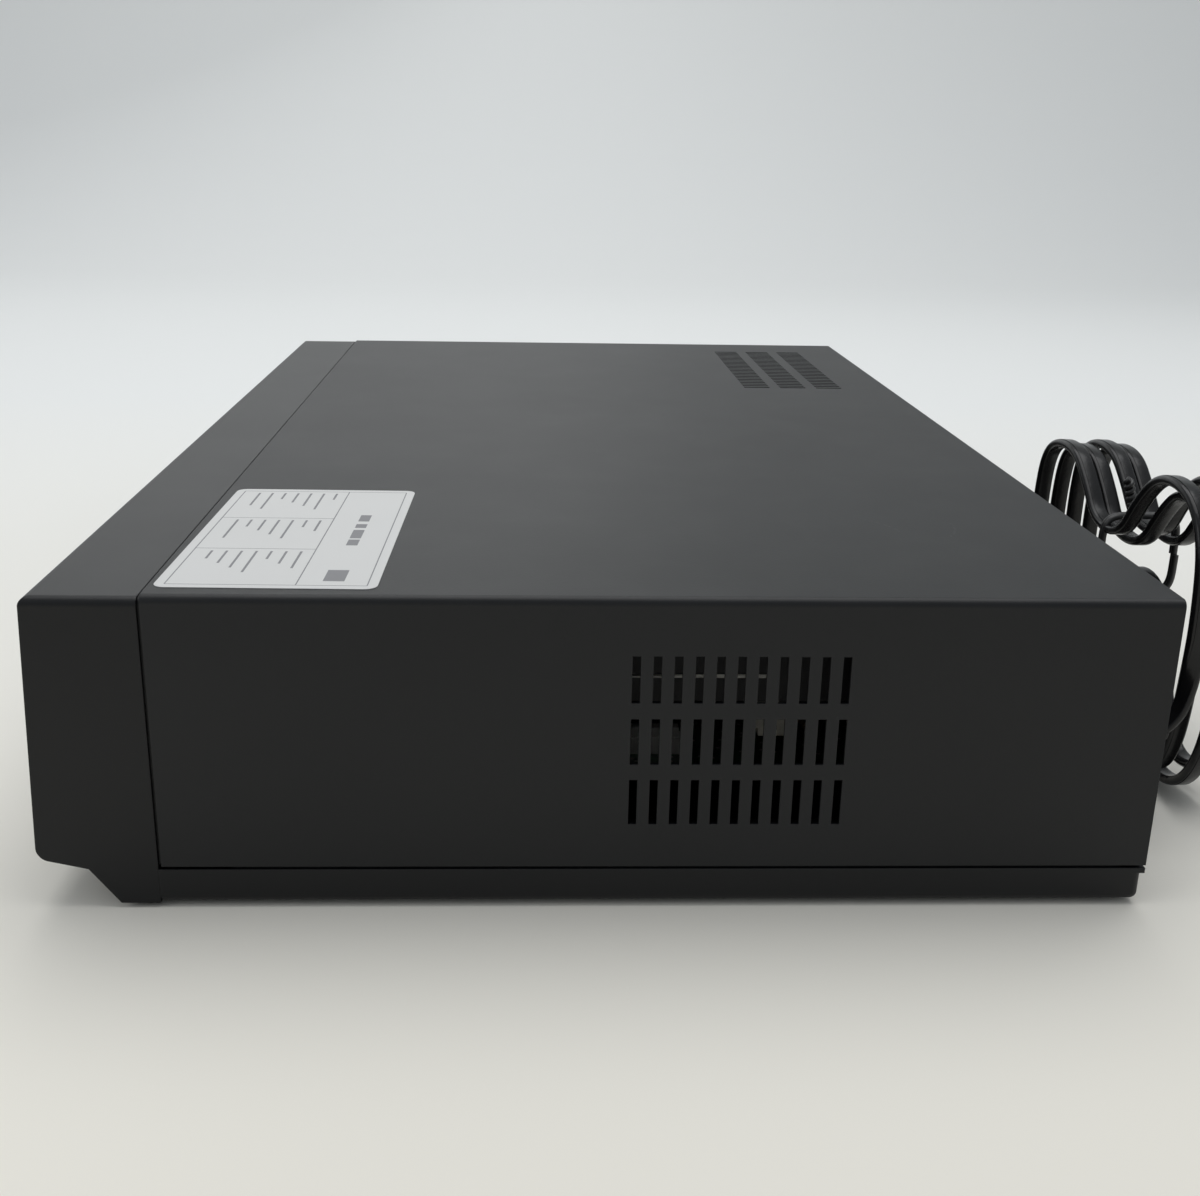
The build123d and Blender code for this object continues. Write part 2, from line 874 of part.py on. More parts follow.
# Screws, one group of separate solids
with BuildPart() as case_screws:
    screw_places = [(rear_y, x, lip_screw_z) for x in lip_screws]
    screw_places += [(panel_face, x, low_screw_z) for x in low_screws]
    for face, x, z in screw_places:
        with BuildSketch(facing_back(face, x, z)):
            Circle(screw_head)
        extrude(amount=screw_head_thick)
        with BuildSketch(facing_back(face, x, z)):
            Circle(screw_shank)
        extrude(amount=-screw_length)
        with BuildSketch(facing_back(face + screw_head_thick, x, z)):
            Rectangle(screw_head, screw_socket / 2)
            Rectangle(screw_socket / 2, screw_head)
        extrude(amount=-screw_socket, mode=Mode.SUBTRACT)

# Rear sockets, in upright pairs that stand on the main board's rear strip
with BuildPart() as rear_jacks:
    for x in socket_columns:
        solid_box(
            x - socket_body / 2, x + socket_body / 2, panel_back - socket_body, panel_back, board_top,
            rear_socket_low + rear_socket_rise + socket_body / 2,
        )
    for x, z in rear_sockets:
        with BuildSketch(facing_back(panel_back, x, z)):
            Circle(socket_radius)
        extrude(amount=rear_y + socket_proud - panel_back)
        with BuildSketch(facing_back(rear_y + socket_proud, x, z)):
            Circle(socket_bore)
        extrude(amount=-(socket_length + socket_proud), mode=Mode.SUBTRACT)

with BuildPart() as tuner_module:
    solid_box(
        tuner_x - tuner_width / 2, tuner_x + tuner_width / 2, panel_back - tuner_depth, panel_back,
        board_top, board_top + tuner_height,
    )
    for x in aerials:
        with BuildSketch(facing_back(panel_back, x, aerial_z)):
            Circle(aerial_radius)
        extrude(amount=rear_y + socket_proud - panel_back)
        with BuildSketch(facing_back(rear_y + socket_proud, x, aerial_z)):
            Circle(aerial_bore)
        extrude(amount=-(socket_length + socket_proud), mode=Mode.SUBTRACT)

# Main board: under the disc loader, with a strip along the rear for the sockets
with BuildPart() as main_board:
    with BuildSketch(Plane.XY.offset(board_z)):
        with BuildLine():
            Polyline(
                (main_board_left, from_front(main_board_front)),
                (main_board_right, from_front(main_board_front)),
                (main_board_right, from_front(main_board_back)),
                (strip_right, from_front(main_board_back)),
                (strip_right, from_front(strip_back)), (strip_left, from_front(strip_back)),
                (strip_left, from_front(strip_front)), (main_board_left, from_front(strip_front)), close=True,
            )
        make_face()
        with Locations(*loader_posts):
            Circle(post_radius + over, mode=Mode.SUBTRACT)
    extrude(amount=board_thick)


def board_block(x, back, wide, deep, tall):
    """A block-shaped part that stands on a board."""
    y = from_front(back)
    solid_box(x - wide / 2, x + wide / 2, y - deep / 2, y + deep / 2, board_top, board_top + tall)


# Chips, connectors and small cans on the main board
with BuildPart() as circuit_parts:
    board_block(main_chip_x, main_chip_back, main_chip_size, main_chip_size, main_chip_height)
    board_block(driver_chip_x, driver_chip_back, driver_chip_size, driver_chip_size, driver_chip_height)
    board_block(memory_chip_x, memory_chip_back, memory_chip_width, memory_chip_depth, memory_chip_height)
    board_block(side_strip_x, side_strip_back, socket_strip_thick, side_strip_length, socket_strip_height)
    board_block(left_strip_x, left_strip_back, left_strip_length, socket_strip_thick, socket_strip_height)
    board_block(rear_strip_x, rear_strip_back, rear_strip_length, socket_strip_thick, socket_strip_height)
    for place in range(cans_in_row):
        can_x = can_row_x + place * can_row_pitch
        post(can_x, from_front(can_row_back), board_top, board_top + 2 * can_large, can_small)
    for place in range(rear_cans):
        can_x = rear_can_x + place * rear_can_pitch
        post(can_x, from_front(rear_can_back), board_top, board_top + 2 * can_large, can_small)

# Power supply
power_y = from_front(power_mid)

with BuildPart() as power_board:
    solid_box(
        power_board_left, power_board_right, from_front(strip_front), from_front(strip_back),
        board_z, board_top,
    )
    for place in range(filter_cans):
        can_x = filter_can_x + place * filter_can_pitch
        post(can_x, power_y, board_top, board_top + can_height, can_large - over)

with BuildPart() as transformer:
    solid_box(
        transformer_x - transformer_width / 2, transformer_x + transformer_width / 2,
        power_y - transformer_depth / 2, power_y + transformer_depth / 2, board_top,
        board_top + transformer_height,
    )
    with Locations((transformer_x, power_y, board_top + transformer_height / 2)):
        window_tall = transformer_height - 2 * board_post
        Box(transformer_width - 2 * board_post, coil_bobbin, window_tall, mode=Mode.SUBTRACT)
        Box(transformer_width, coil_bobbin / 2, window_tall)

with BuildPart() as heat_sink:
    solid_box(
        sink_x - sink_width / 2, sink_x + sink_width / 2, power_y - sink_depth / 2,
        power_y - sink_depth / 2 + 2 * sink_fin, board_top, board_top + sink_height,
    )
    fin_pitch = (sink_width - sink_fin) / (sink_fins - 1)
    with Locations((sink_x, power_y, board_top + sink_height / 2)):
        with GridLocations(fin_pitch, 1, sink_fins, 1):
            Box(sink_fin, sink_depth, sink_height)

# Deck chassis, a steel plate on four posts with the fixed pins, posts and the capstan's sleeve
capstan_centre = (door_x + capstan_x, capstan_y)
arm_pivot = (capstan_centre[0] + capstan_radius + roller_radius + roller_gap, capstan_centre[1] - arm_reach)
swing = math.radians(arm_swing)
roller_centre = (arm_pivot[0] + arm_reach * math.sin(swing), arm_pivot[1] + arm_reach * math.cos(swing))
reels = {"supply_reel": door_x - reel_spacing / 2, "takeup_reel": door_x + reel_spacing / 2}
deck_left = door_x - deck_width / 2
deck_right = door_x + deck_width / 2

with BuildPart() as deck_chassis:
    solid_box(deck_left, deck_right, deck_front, deck_rear, deck_z, deck_top)
    solid_box(deck_left, deck_right, deck_rear - deck_sheet, deck_rear, deck_z, deck_z + deck_flange)
    for x in reels.values():
        post(x, reel_y, deck_z, deck_top + reel_height - 2 * over, reel_pin)
    for side in (-1, 1):
        for place in range(guides_a_side):
            turn = math.radians(side * (place + 1) * guide_spread)
            x = door_x + guide_ring * math.sin(turn)
            y = drum_y - guide_ring * math.cos(turn)
            post(x, y, deck_z, deck_top + guide_height, guide_radius)
    post(*arm_pivot, deck_z, arm_z + arm_thick + over, roller_pin)
    post(*capstan_centre, deck_z - sleeve_drop, sleeve_top, sleeve_radius)
    post(*capstan_centre, deck_z - sleeve_drop, sleeve_top, capstan_radius + running, Mode.SUBTRACT)

with BuildPart() as cassette_bracket:
    bracket_in = holder_width / 2 + bracket_gap
    bracket_out = bracket_in + deck_sheet
    bracket_end = holder_front + bracket_length
    for side in (-1, 1):
        low_side = door_x + side * bracket_in
        high_side = door_x + side * bracket_out
        solid_box(low_side, high_side, deck_front, bracket_end, deck_top, bracket_top)
    solid_box(
        door_x - bracket_out, door_x + bracket_out, bracket_end - bridge_length, bracket_end,
        bracket_top - deck_sheet, bracket_top,
    )
    for pin_back in (holder_pin * 10, holder_depth - holder_pin * 10):
        with BuildSketch(across(door_x)):
            with Locations((holder_front + pin_back + holder_travel / 2, holder_pin_z)):
                SlotCenterToCenter(holder_travel, 2 * (holder_pin + running + touch))
        extrude(amount=bracket_out + over, both=True, mode=Mode.SUBTRACT)

with BuildPart() as cassette_holder:
    holder_x = holder_width / 2
    solid_box(
        door_x - holder_x, door_x + holder_x, holder_front, holder_front + holder_depth, holder_low,
        holder_top,
    )
    solid_box(
        door_x - holder_x + sheet, door_x + holder_x - sheet, holder_front - over,
        holder_front + holder_depth + over, holder_low + sheet, holder_top - sheet, Mode.SUBTRACT,
    )
    solid_box(
        door_x - holder_x + holder_flange, door_x + holder_x - holder_flange, holder_front - over,
        holder_front + holder_depth + over, holder_top - 2 * sheet, holder_top + over, Mode.SUBTRACT,
    )
    pin_out = bracket_gap + deck_sheet
    for side in (-1, 1):
        for pin_back in (holder_pin * 10, holder_depth - holder_pin * 10):
            with Locations((door_x + side * (holder_x + pin_out / 2), holder_front + pin_back, holder_pin_z)):
                Cylinder(holder_pin, pin_out, rotation=(0, 90, 0))

# Head drum: a fixed lower half and a turning upper half on a shaft
lower_drum_top = deck_top + lower_drum_height

with BuildPart() as lower_drum:
    post(door_x, drum_y, deck_top, lower_drum_top, drum_radius)
    post(door_x, drum_y, deck_top, lower_drum_top, drum_shaft + running, Mode.SUBTRACT)

with BuildPart() as upper_drum:
    upper_low = lower_drum_top + drum_gap
    post(door_x, drum_y, upper_low, upper_low + upper_drum_height, drum_radius)
    post(door_x, drum_y, deck_top + 2 * over, lower_drum_top + upper_drum_height, drum_shaft)
    with Locations((door_x, drum_y, lower_drum_top + drum_gap + over)):
        with PolarLocations(drum_radius, 2):
            Box(head_slot_deep, head_slot_wide, head_slot_tall, mode=Mode.SUBTRACT)
    fillet(upper_drum.faces().sort_by(Axis.Z)[-1].edges(), drum_edge)


def build_reel(x):
    """A reel table with a toothed hub that lifts into a cassette's spool, bored for its pin."""
    with BuildPart() as reel:
        low = deck_top + slack
        post(x, reel_y, low, low + reel_disc, reel_radius)
        post(x, reel_y, low, low + 2 * reel_disc, reel_hub)
        post(x, reel_y, low, deck_top + reel_height, reel_spindle)
        with Locations((x, reel_y, deck_top + (2 * reel_disc + reel_height) / 2)):
            with PolarLocations(reel_spindle, 3):
                Box(2 * reel_rib, reel_rib, reel_height - 2 * reel_disc)
        post(x, reel_y, low, deck_top + reel_height - over, reel_pin + running, Mode.SUBTRACT)
    return reel


reel_parts = {name: build_reel(x) for name, x in reels.items()}

# Capstan with its flywheel under the plate, and the motor's fixed coils below it
with BuildPart() as capstan:
    post(*capstan_centre, flywheel_z, flywheel_z + flywheel_thick, flywheel_radius)
    post(*capstan_centre, flywheel_z, capstan_top, capstan_radius)

with BuildPart() as capstan_motor:
    half = stator_size / 2
    x, y = capstan_centre
    solid_box(x - half, x + half, y - half, y + half, stator_z, stator_z + board_thick)
    post(x, y, stator_z, stator_z + board_thick + coil_thick, coil_outer)
    post(x, y, stator_z + board_thick, stator_z + board_thick + coil_thick, coil_inner, Mode.SUBTRACT)
    for sx in (-1, 1):
        for sy in (-1, 1):
            post(x + sx * (half - stator_post), y + sy * (half - stator_post), stator_z, deck_z, stator_post)

arm_angle = math.degrees(math.atan2(roller_centre[1] - arm_pivot[1], roller_centre[0] - arm_pivot[0]))
arm_top = arm_z + arm_thick

with BuildPart() as pinch_arm:
    with BuildSketch(Plane.XY.offset(arm_z)):
        with Locations(((arm_pivot[0] + roller_centre[0]) / 2, (arm_pivot[1] + roller_centre[1]) / 2)):
            SlotCenterToCenter(arm_reach, arm_width, rotation=arm_angle)
        with Locations(arm_pivot):
            Circle(roller_pin + running, mode=Mode.SUBTRACT)
    extrude(amount=arm_thick)
    post(*roller_centre, arm_z, arm_top + roller_height + over, roller_pin)

with BuildPart() as pinch_roller:
    roller_low = arm_top + tray_gap
    post(*roller_centre, roller_low, roller_low + roller_height, roller_radius)
    post(*roller_centre, roller_low, roller_low + roller_height, roller_pin + running, Mode.SUBTRACT)

# Loader frame: floor with an opening for the traverse, walls with ledges that guide the tray
wall_out = loader_width / 2
wall_in = wall_out - loader_wall
opening_x = traverse_width / 2 + 2 * slack
traverse_end = traverse_y + traverse_length
pin_y = from_front(traverse_pin_back)
pin_z = traverse_z + traverse_thick / 2
bridge_y = disc_y - bridge_width / 2
ledge_top = tray_z - tray_gap
gear_low = tray_z + tray_gap

with BuildPart() as loader_frame:
    solid_box(disc_x - wall_out, disc_x + wall_out, loader_front, loader_rear, loader_z, loader_top)
    solid_box(
        disc_x - wall_in, disc_x + wall_in, loader_front - over, loader_rear - loader_wall, loader_deck,
        loader_top + over, Mode.SUBTRACT,
    )
    solid_box(
        disc_x - opening_x, disc_x + opening_x, traverse_y - 2 * slack, traverse_end + 2 * slack,
        loader_z - over, loader_deck + over, Mode.SUBTRACT,
    )
    for side in (-1, 1):
        ledge_in = disc_x + side * (wall_out - guide_ledge - loader_wall)
        wall = disc_x + side * wall_out
        low_x, high_x = sorted((ledge_in, wall))
        solid_box(low_x, high_x, loader_front, loader_rear, ledge_top - ledge_thick, ledge_top)
        guide_low = tray_top + tray_gap
        solid_box(low_x, high_x, loader_front, loader_rear, guide_low, guide_low + ledge_thick)
        ear = disc_x + side * (opening_x + loader_wall / 2)
        solid_box(
            ear - loader_wall / 2, ear + loader_wall / 2, pin_y - loader_wall * 2, pin_y + loader_wall * 2,
            loader_z, pin_z + loader_wall + traverse_pin,
        )
        with Locations((ear, pin_y, pin_z)):
            Cylinder(traverse_pin + running, loader_wall, rotation=(0, 90, 0), mode=Mode.SUBTRACT)
    post(gear_x, gear_y, loader_z, wheel_z, gear_pin * 2)
    post(gear_x, gear_y, loader_z, gear_low + gear_face - over, gear_pin)
    post(disc_x - motor_offset, gear_y, loader_z - over, loader_deck + over, motor_pulley / 2, Mode.SUBTRACT)

# Disc tray: a shallow tray open below, with a slot to the rear for the turntable
rack_line = gear_x - gear_pitch_radius
tooth_pitch = math.pi * gear_module
tooth_tall = tooth_tip_part * gear_module
tooth_root = tooth_root_part * gear_module
rack_teeth = int(tray_travel / tooth_pitch) + rack_extra_teeth


def tooth_outline(tip, root, wide_tip, wide_root):
    """The four corners of a tooth that points along +X, tip first."""
    return [(root, -wide_root / 2), (tip, -wide_tip / 2), (tip, wide_tip / 2), (root, wide_root / 2)]


with BuildPart() as disc_tray:
    tray_x = tray_width / 2
    tray_end = tray_y + tray_length
    solid_box(disc_x - tray_x, disc_x + tray_x, tray_y, tray_end, tray_z, tray_top)
    solid_box(
        disc_x - tray_x + tray_skirt, disc_x + tray_x - tray_skirt, tray_y + tray_nose, tray_end + over,
        tray_z - over, tray_deck, Mode.SUBTRACT,
    )
    post(disc_x, disc_y, disc_floor, tray_top + over, disc_recess, Mode.SUBTRACT)
    post(disc_x, disc_y, disc_floor - small_disc_step, tray_top + over, small_disc_recess, Mode.SUBTRACT)
    post(disc_x, disc_y, tray_z - over, tray_top + over, tray_slot / 2, Mode.SUBTRACT)
    solid_box(
        disc_x - tray_slot / 2, disc_x + tray_slot / 2, disc_y, tray_end + over, tray_z - over, tray_top + over,
        Mode.SUBTRACT,
    )
    rack_back = rack_line - tooth_root
    solid_box(
        disc_x - tray_x, rack_back, tray_y, tray_end, gear_low, tray_deck,
    )
    for place in range(rack_teeth):
        tooth_y = gear_y + (place - rack_lead) * tooth_pitch
        with BuildSketch(Plane(origin=(rack_line, tooth_y, gear_low), z_dir=(0, 0, 1))):
            with BuildLine():
                tip_width = tooth_pitch * tooth_part - tooth_tall * rack_flank
                root_width = tooth_pitch * tooth_part + tooth_root * rack_flank
                Polyline(*tooth_outline(tooth_tall, -tooth_root, tip_width, root_width), close=True)
            make_face()
        extrude(amount=gear_face)

with BuildPart() as tray_front:
    with BuildSketch(on_front(disc_x, tray_front_z)):
        RectangleRounded(tray_front_width, tray_front_height, button_corner)
    extrude(amount=-tray_front_thick)
    for side in (-1, 1):
        clip_x = disc_x + side * tray_x * clip_part
        solid_box(
            clip_x - clip_half, clip_x + clip_half, front_y + tray_front_thick / 2, tray_y,
            tray_z + over, tray_top - over,
        )

# Tray gear: a pinion under the tray on a wheel that the motor turns
with BuildPart() as tray_gear:
    post(gear_x, gear_y, wheel_z + touch, wheel_z + wheel_thick, wheel_radius)
    post(gear_x, gear_y, wheel_z + touch, gear_low + gear_face - tray_gap, gear_pitch_radius - tooth_root)
    for place in range(gear_teeth):
        turn = full_turn / 2 + place * full_turn / gear_teeth
        tooth_plane = Plane(origin=(gear_x, gear_y, gear_low), z_dir=(0, 0, 1)).rotated((0, 0, turn))
        with BuildSketch(tooth_plane):
            with BuildLine():
                tip = gear_pitch_radius + tooth_tall
                root = gear_pitch_radius - tooth_root - slack
                tip_width = tooth_pitch * tooth_part - tooth_tall * gear_tip_flank
                root_width = tooth_pitch * tooth_part + tooth_root * gear_root_flank
                Polyline(*tooth_outline(tip, root, tip_width, root_width), close=True)
            make_face()
        extrude(amount=gear_face - tray_gap)
    post(gear_x, gear_y, wheel_z, gear_low + gear_face, gear_pin + running, Mode.SUBTRACT)

with BuildPart() as tray_motor:
    motor_x = disc_x - motor_offset
    post(motor_x, gear_y, loader_z - motor_height, loader_z, motor_radius)
    post(motor_x, gear_y, loader_z, wheel_z + wheel_thick, motor_shaft)
    post(motor_x, gear_y, wheel_z, wheel_z + wheel_thick, motor_pulley)

# Traverse, which carries the turntable's motor and the pickup's rails and tilts on two pins
with BuildPart() as traverse:
    traverse_x = traverse_width / 2
    solid_box(
        disc_x - traverse_x, disc_x + traverse_x, traverse_y, traverse_end, traverse_z,
        traverse_z + traverse_thick,
    )
    window_x = rail_spacing / 2 - 2 * rail_radius
    solid_box(
        disc_x - window_x, disc_x + window_x, from_front(rail_start), from_front(rail_end), traverse_z - over,
        traverse_z + traverse_thick + over, Mode.SUBTRACT,
    )
    post(disc_x, disc_y, traverse_z, traverse_z + traverse_thick + over, shaft_radius * 3, Mode.SUBTRACT)
    for side in (-1, 1):
        rail_x = disc_x + side * rail_spacing / 2
        rail_mid = (from_front(rail_start) + from_front(rail_end)) / 2
        with Locations((rail_x, rail_mid, rail_z)):
            Cylinder(rail_radius, rail_end - rail_start, rotation=(90, 0, 0))
        for end in (rail_start, rail_end):
            solid_box(
                rail_x - 2 * rail_radius, rail_x + 2 * rail_radius, from_front(end) - rail_radius,
                from_front(end) + rail_radius, traverse_z, rail_z + rail_radius,
            )
        with Locations((disc_x + side * (traverse_x + traverse_pin_out), pin_y, pin_z)):
            Cylinder(traverse_pin, traverse_pin_length, rotation=(0, 90, 0))

with BuildPart() as spindle_motor:
    post(disc_x, disc_y, traverse_z - spindle_height, traverse_z, spindle_radius)
    post(disc_x, disc_y, traverse_z - spindle_height + over, traverse_z, shaft_radius + running, Mode.SUBTRACT)

with BuildPart() as turntable:
    post(disc_x, disc_y, traverse_z - spindle_height + over + touch, table_z, shaft_radius)
    post(disc_x, disc_y, table_z - table_thick * 2, table_z, hub_radius / 2)
    post(disc_x, disc_y, table_z, table_z + table_thick, table_radius)
    post(disc_x, disc_y, table_z + table_thick, table_z + table_thick + hub_height, hub_radius)
    chamfer(turntable.faces().sort_by(Axis.Z)[-1].edges(), hub_height / 2)

with BuildPart() as pickup:
    sled_y = from_front(sled_start)
    sled_x = rail_spacing / 2 + 2 * rail_radius
    solid_box(disc_x - sled_x, disc_x + sled_x, sled_y, sled_y + sled_length, sled_low, sled_high)
    with Locations((disc_x, sled_y + sled_length / 2, (sled_low + sled_high) / 2)):
        Box(2 * lens_radius + lens_mount, sled_length - sled_inset, sled_high - sled_low + 2 * over)
    post(disc_x, sled_y + sled_length / 2, sled_high, lens_top, lens_radius)
    for side in (-1, 1):
        with Locations((disc_x + side * rail_spacing / 2, sled_y + sled_length / 2, rail_z)):
            Cylinder(rail_radius + running, sled_length, rotation=(90, 0, 0), mode=Mode.SUBTRACT)

with BuildPart() as clamp_bridge:
    bridge_top = loader_top + bridge_thick
    bridge_end = bridge_y + bridge_width
    solid_box(disc_x - wall_out, disc_x + wall_out, bridge_y, bridge_end, loader_top, bridge_top)
    post(disc_x, disc_y, loader_top - over, bridge_top + over, clamper_neck + slack, Mode.SUBTRACT)

with BuildPart() as clamper:
    post(disc_x, disc_y, clamper_z, clamper_z + clamper_thick, clamper_radius)
    head_low = loader_top + bridge_thick + touch
    post(disc_x, disc_y, clamper_z, head_low + over, clamper_neck)
    post(disc_x, disc_y, head_low, head_low + over, clamper_head)

# Strain-relief bush in the rear panel
nose_end = rear_y + bush_flange_thick * bush_nose_part

with BuildPart() as cord_bush:
    with BuildSketch(facing_back(panel_face, bush_x, bush_z)):
        Circle(bush_flange)
    extrude(amount=bush_flange_thick)
    with BuildSketch(facing_back(panel_face, bush_x, bush_z)):
        Circle(bush_hole - running)
    extrude(amount=-sheet)
    with BuildSketch(facing_back(panel_back, bush_x, bush_z)):
        Circle(bush_head)
    extrude(amount=-bush_flange_thick)
    with BuildSketch(facing_back(panel_face, bush_x, bush_z)):
        Circle(bush_nose)
    extrude(amount=nose_end - panel_face)

# Mains lead: a short stretch from the bush up to the hank, the hank, and a tail that bends down
# to the plug on the floor.
lead_radius = lead_width / 2
hank_y = rear_y + hank_behind
hank_low = hank_z - hank_tip_drop - lead_width
tail_x = hank_x - hank_reach + hank_step / 2
tail_y = hank_y + (hank_layers - 1) * hank_layer
lead_points = [
    (bush_x, nose_end, bush_z), (bush_x, nose_end + lead_run, bush_z),
    (bush_x, hank_y - lead_turn, bush_z + lead_turn), (bush_x, hank_y, hank_low - lead_run),
    (bush_x, hank_y, hank_low),
]
tail_turns = [math.pi / 2 * (1 - place / tail_bends) for place in range(tail_bends + 1)]
tail_step = (hank_low - plug_z) / sum(math.sin(turn) for turn in tail_turns)
tail_points = [(tail_x, tail_y, hank_low)]
for turn in tail_turns:
    x, y, z = tail_points[-1]
    tail_points.append((x - tail_step * math.cos(turn), y, z - tail_step * math.sin(turn)))


def corner_radii(points):
    """As large a bend at each inner point as its two runs allow, printed for a check by eye."""
    radii = []
    for before, here, after in zip(points, points[1:], points[2:]):
        run_in = Vector(*here) - Vector(*before)
        run_out = Vector(*after) - Vector(*here)
        half_turn = math.radians(run_in.get_angle(run_out)) / 2
        radii.append(bend_part * min(run_in.length, run_out.length) / math.tan(half_turn))
    print("bend radii", [round(radius, 1) for radius in radii])
    return radii


def build_stretch(points):
    """A free stretch of the lead: a tube along straight runs joined by arcs."""
    with BuildPart() as stretch:
        with BuildLine() as route:
            FilletPolyline(*points, radius=corner_radii(points))
        start = route.line @ 0
        with BuildSketch(Plane(origin=start, z_dir=route.line % 0)):
            Circle(lead_radius)
        sweep()
    section = math.pi * lead_radius ** 2
    length = route.wires()[0].length
    print("stretch volume", round(stretch.part.volume), "section by length", round(section * length))
    return stretch


# The hank: loops that lie as in a tied bundle, drawn in at the waist. Each key point of one
# loop has its place about the waist and its heading, in degrees above +X in the XZ plane.
loop_keys = [
    (hank_reach, -hank_tip_drop, 90.0),
    (hank_lobe, hank_rise, 180.0),
    (0.0, hank_waist, 180.0),
    (-hank_lobe, hank_rise_left, 180.0),
    (-hank_reach, -hank_tip_drop, 270.0),
    (-hank_lobe, -hank_fall, 0.0),
    (0.0, -hank_waist, 0.0),
    (hank_lobe, -hank_fall, 0.0),
]
keys_in_loop = len(loop_keys)
hank_keys = (hank_layers - 1) * keys_in_loop + keys_in_loop // 2


def smooth(value):
    """A step from 0 to 1 that starts and ends level."""
    part = min(max(value, 0.0), 1.0)
    return part * part * (3.0 - 2.0 * part)


def hank_key(count):
    """The point and heading at a key, where each loop spirals in or out by one step."""
    turns = count / keys_in_loop
    spiral = turns % 2.0
    inward = hank_step * min(spiral, 2.0 - spiral)
    layer = sum(smooth((turns - climb) * 2.0 + 0.5) for climb in range(1, hank_layers))
    x, z, heading = loop_keys[count % keys_in_loop]
    angle = math.radians(heading)
    ahead = Vector(math.cos(angle), 0, math.sin(angle))
    inside = Vector(-math.sin(angle), 0, math.cos(angle))
    point = Vector(hank_x + x, hank_y + hank_layer * layer, hank_z + z) + inside * inward
    return point, ahead


def key_tangent(count):
    """The heading at a key, tilted by the climb to the next layer."""
    point, ahead = hank_key(count)
    if count in (0, hank_keys):
        return ahead
    before = hank_key(count - 1)[0]
    after = hank_key(count + 1)[0]
    climb = (after.Y - before.Y) / ((after - point).length + (point - before).length)
    return (ahead + Vector(0, climb, 0)).normalized()


def biarc_middle(start, start_way, end, end_way):
    """The point where two tangent arcs of one biarc meet, and the heading there."""
    chord = end - start
    both = start_way + end_way
    spread = 2.0 * (1.0 - start_way.dot(end_way))
    along = chord.dot(both)
    if spread < tiny:
        reach = chord.dot(chord) / (4.0 * chord.dot(end_way))
    else:
        reach = (math.sqrt(along * along + spread * chord.dot(chord)) - along) / spread
    leaving = start + start_way * reach
    arriving = end - end_way * reach
    return (leaving + arriving) * 0.5, (arriving - leaving).normalized()


with BuildPart() as cord_hank:
    with BuildLine() as hank_route:
        first, way = hank_key(0)
        Line(first - way * lead_width, first)
        for count in range(hank_keys):
            start = hank_key(count)[0]
            end = hank_key(count + 1)[0]
            start_way = key_tangent(count)
            end_way = key_tangent(count + 1)
            middle, middle_way = biarc_middle(start, start_way, end, end_way)
            TangentArc(start, middle, tangent=start_way)
            TangentArc(middle, end, tangent=middle_way)
        last, way = hank_key(hank_keys)
        Line(last, last + way * lead_width)
    hank_start, way = hank_key(0)
    with BuildSketch(Plane(origin=hank_start - way * lead_width, z_dir=way)):
        Circle(lead_radius)
    sweep()

hank_length = hank_route.wires()[0].length
print("hank length", round(hank_length), "volume", round(cord_hank.part.volume))
print("section by length", round(math.pi * lead_radius ** 2 * hank_length))
samples = [hank_route.wires()[0] @ (step / samples_taken) for step in range(samples_taken + 1)]
apart = int(samples_taken * 4 * lead_width / hank_length)
gaps = [(one - two).length for place, one in enumerate(samples) for two in samples[place + apart:]]
least = min(gaps)
print("least gap of the hank to itself", round(least - lead_width, 2))

# Tie round the waist of the hank
with BuildPart() as cord_tie:
    tie_depth = (hank_layers - 1) * hank_layer + lead_width + 2 * tie_gap
    tie_height = 2 * hank_waist + lead_width + 2 * tie_gap
    tie_middle = hank_y + (hank_layers - 1) * hank_layer / 2
    with BuildSketch(across(hank_x, tie_middle, hank_z)):
        RectangleRounded(tie_depth + 2 * tie_wall, tie_height + 2 * tie_wall, lead_radius)
        RectangleRounded(tie_depth, tie_height, lead_radius - tie_wall, mode=Mode.SUBTRACT)
    extrude(amount=tie_width / 2, both=True)

# Two-pin plug, flat on the floor behind the case
plug_start = Vector(*tail_points[-1])

with BuildPart() as mains_plug:
    with BuildSketch(across(plug_start.X, plug_start.Y, plug_z)):
        Circle(plug_neck_radius)
    extrude(amount=-plug_neck)
    with BuildSketch(across(plug_start.X - plug_neck, plug_start.Y, plug_z)):
        RectangleRounded(plug_width, plug_thick, lead_radius)
    extrude(amount=-plug_length)
    with BuildSketch(across(plug_start.X - plug_neck - plug_length, plug_start.Y, plug_z)):
        with GridLocations(blade_spacing, 1, 2, 1):
            Rectangle(blade_thick, blade_width)
    extrude(amount=-blade_length)

power_cord = build_stretch(lead_points)
cord_tail = build_stretch(tail_points)

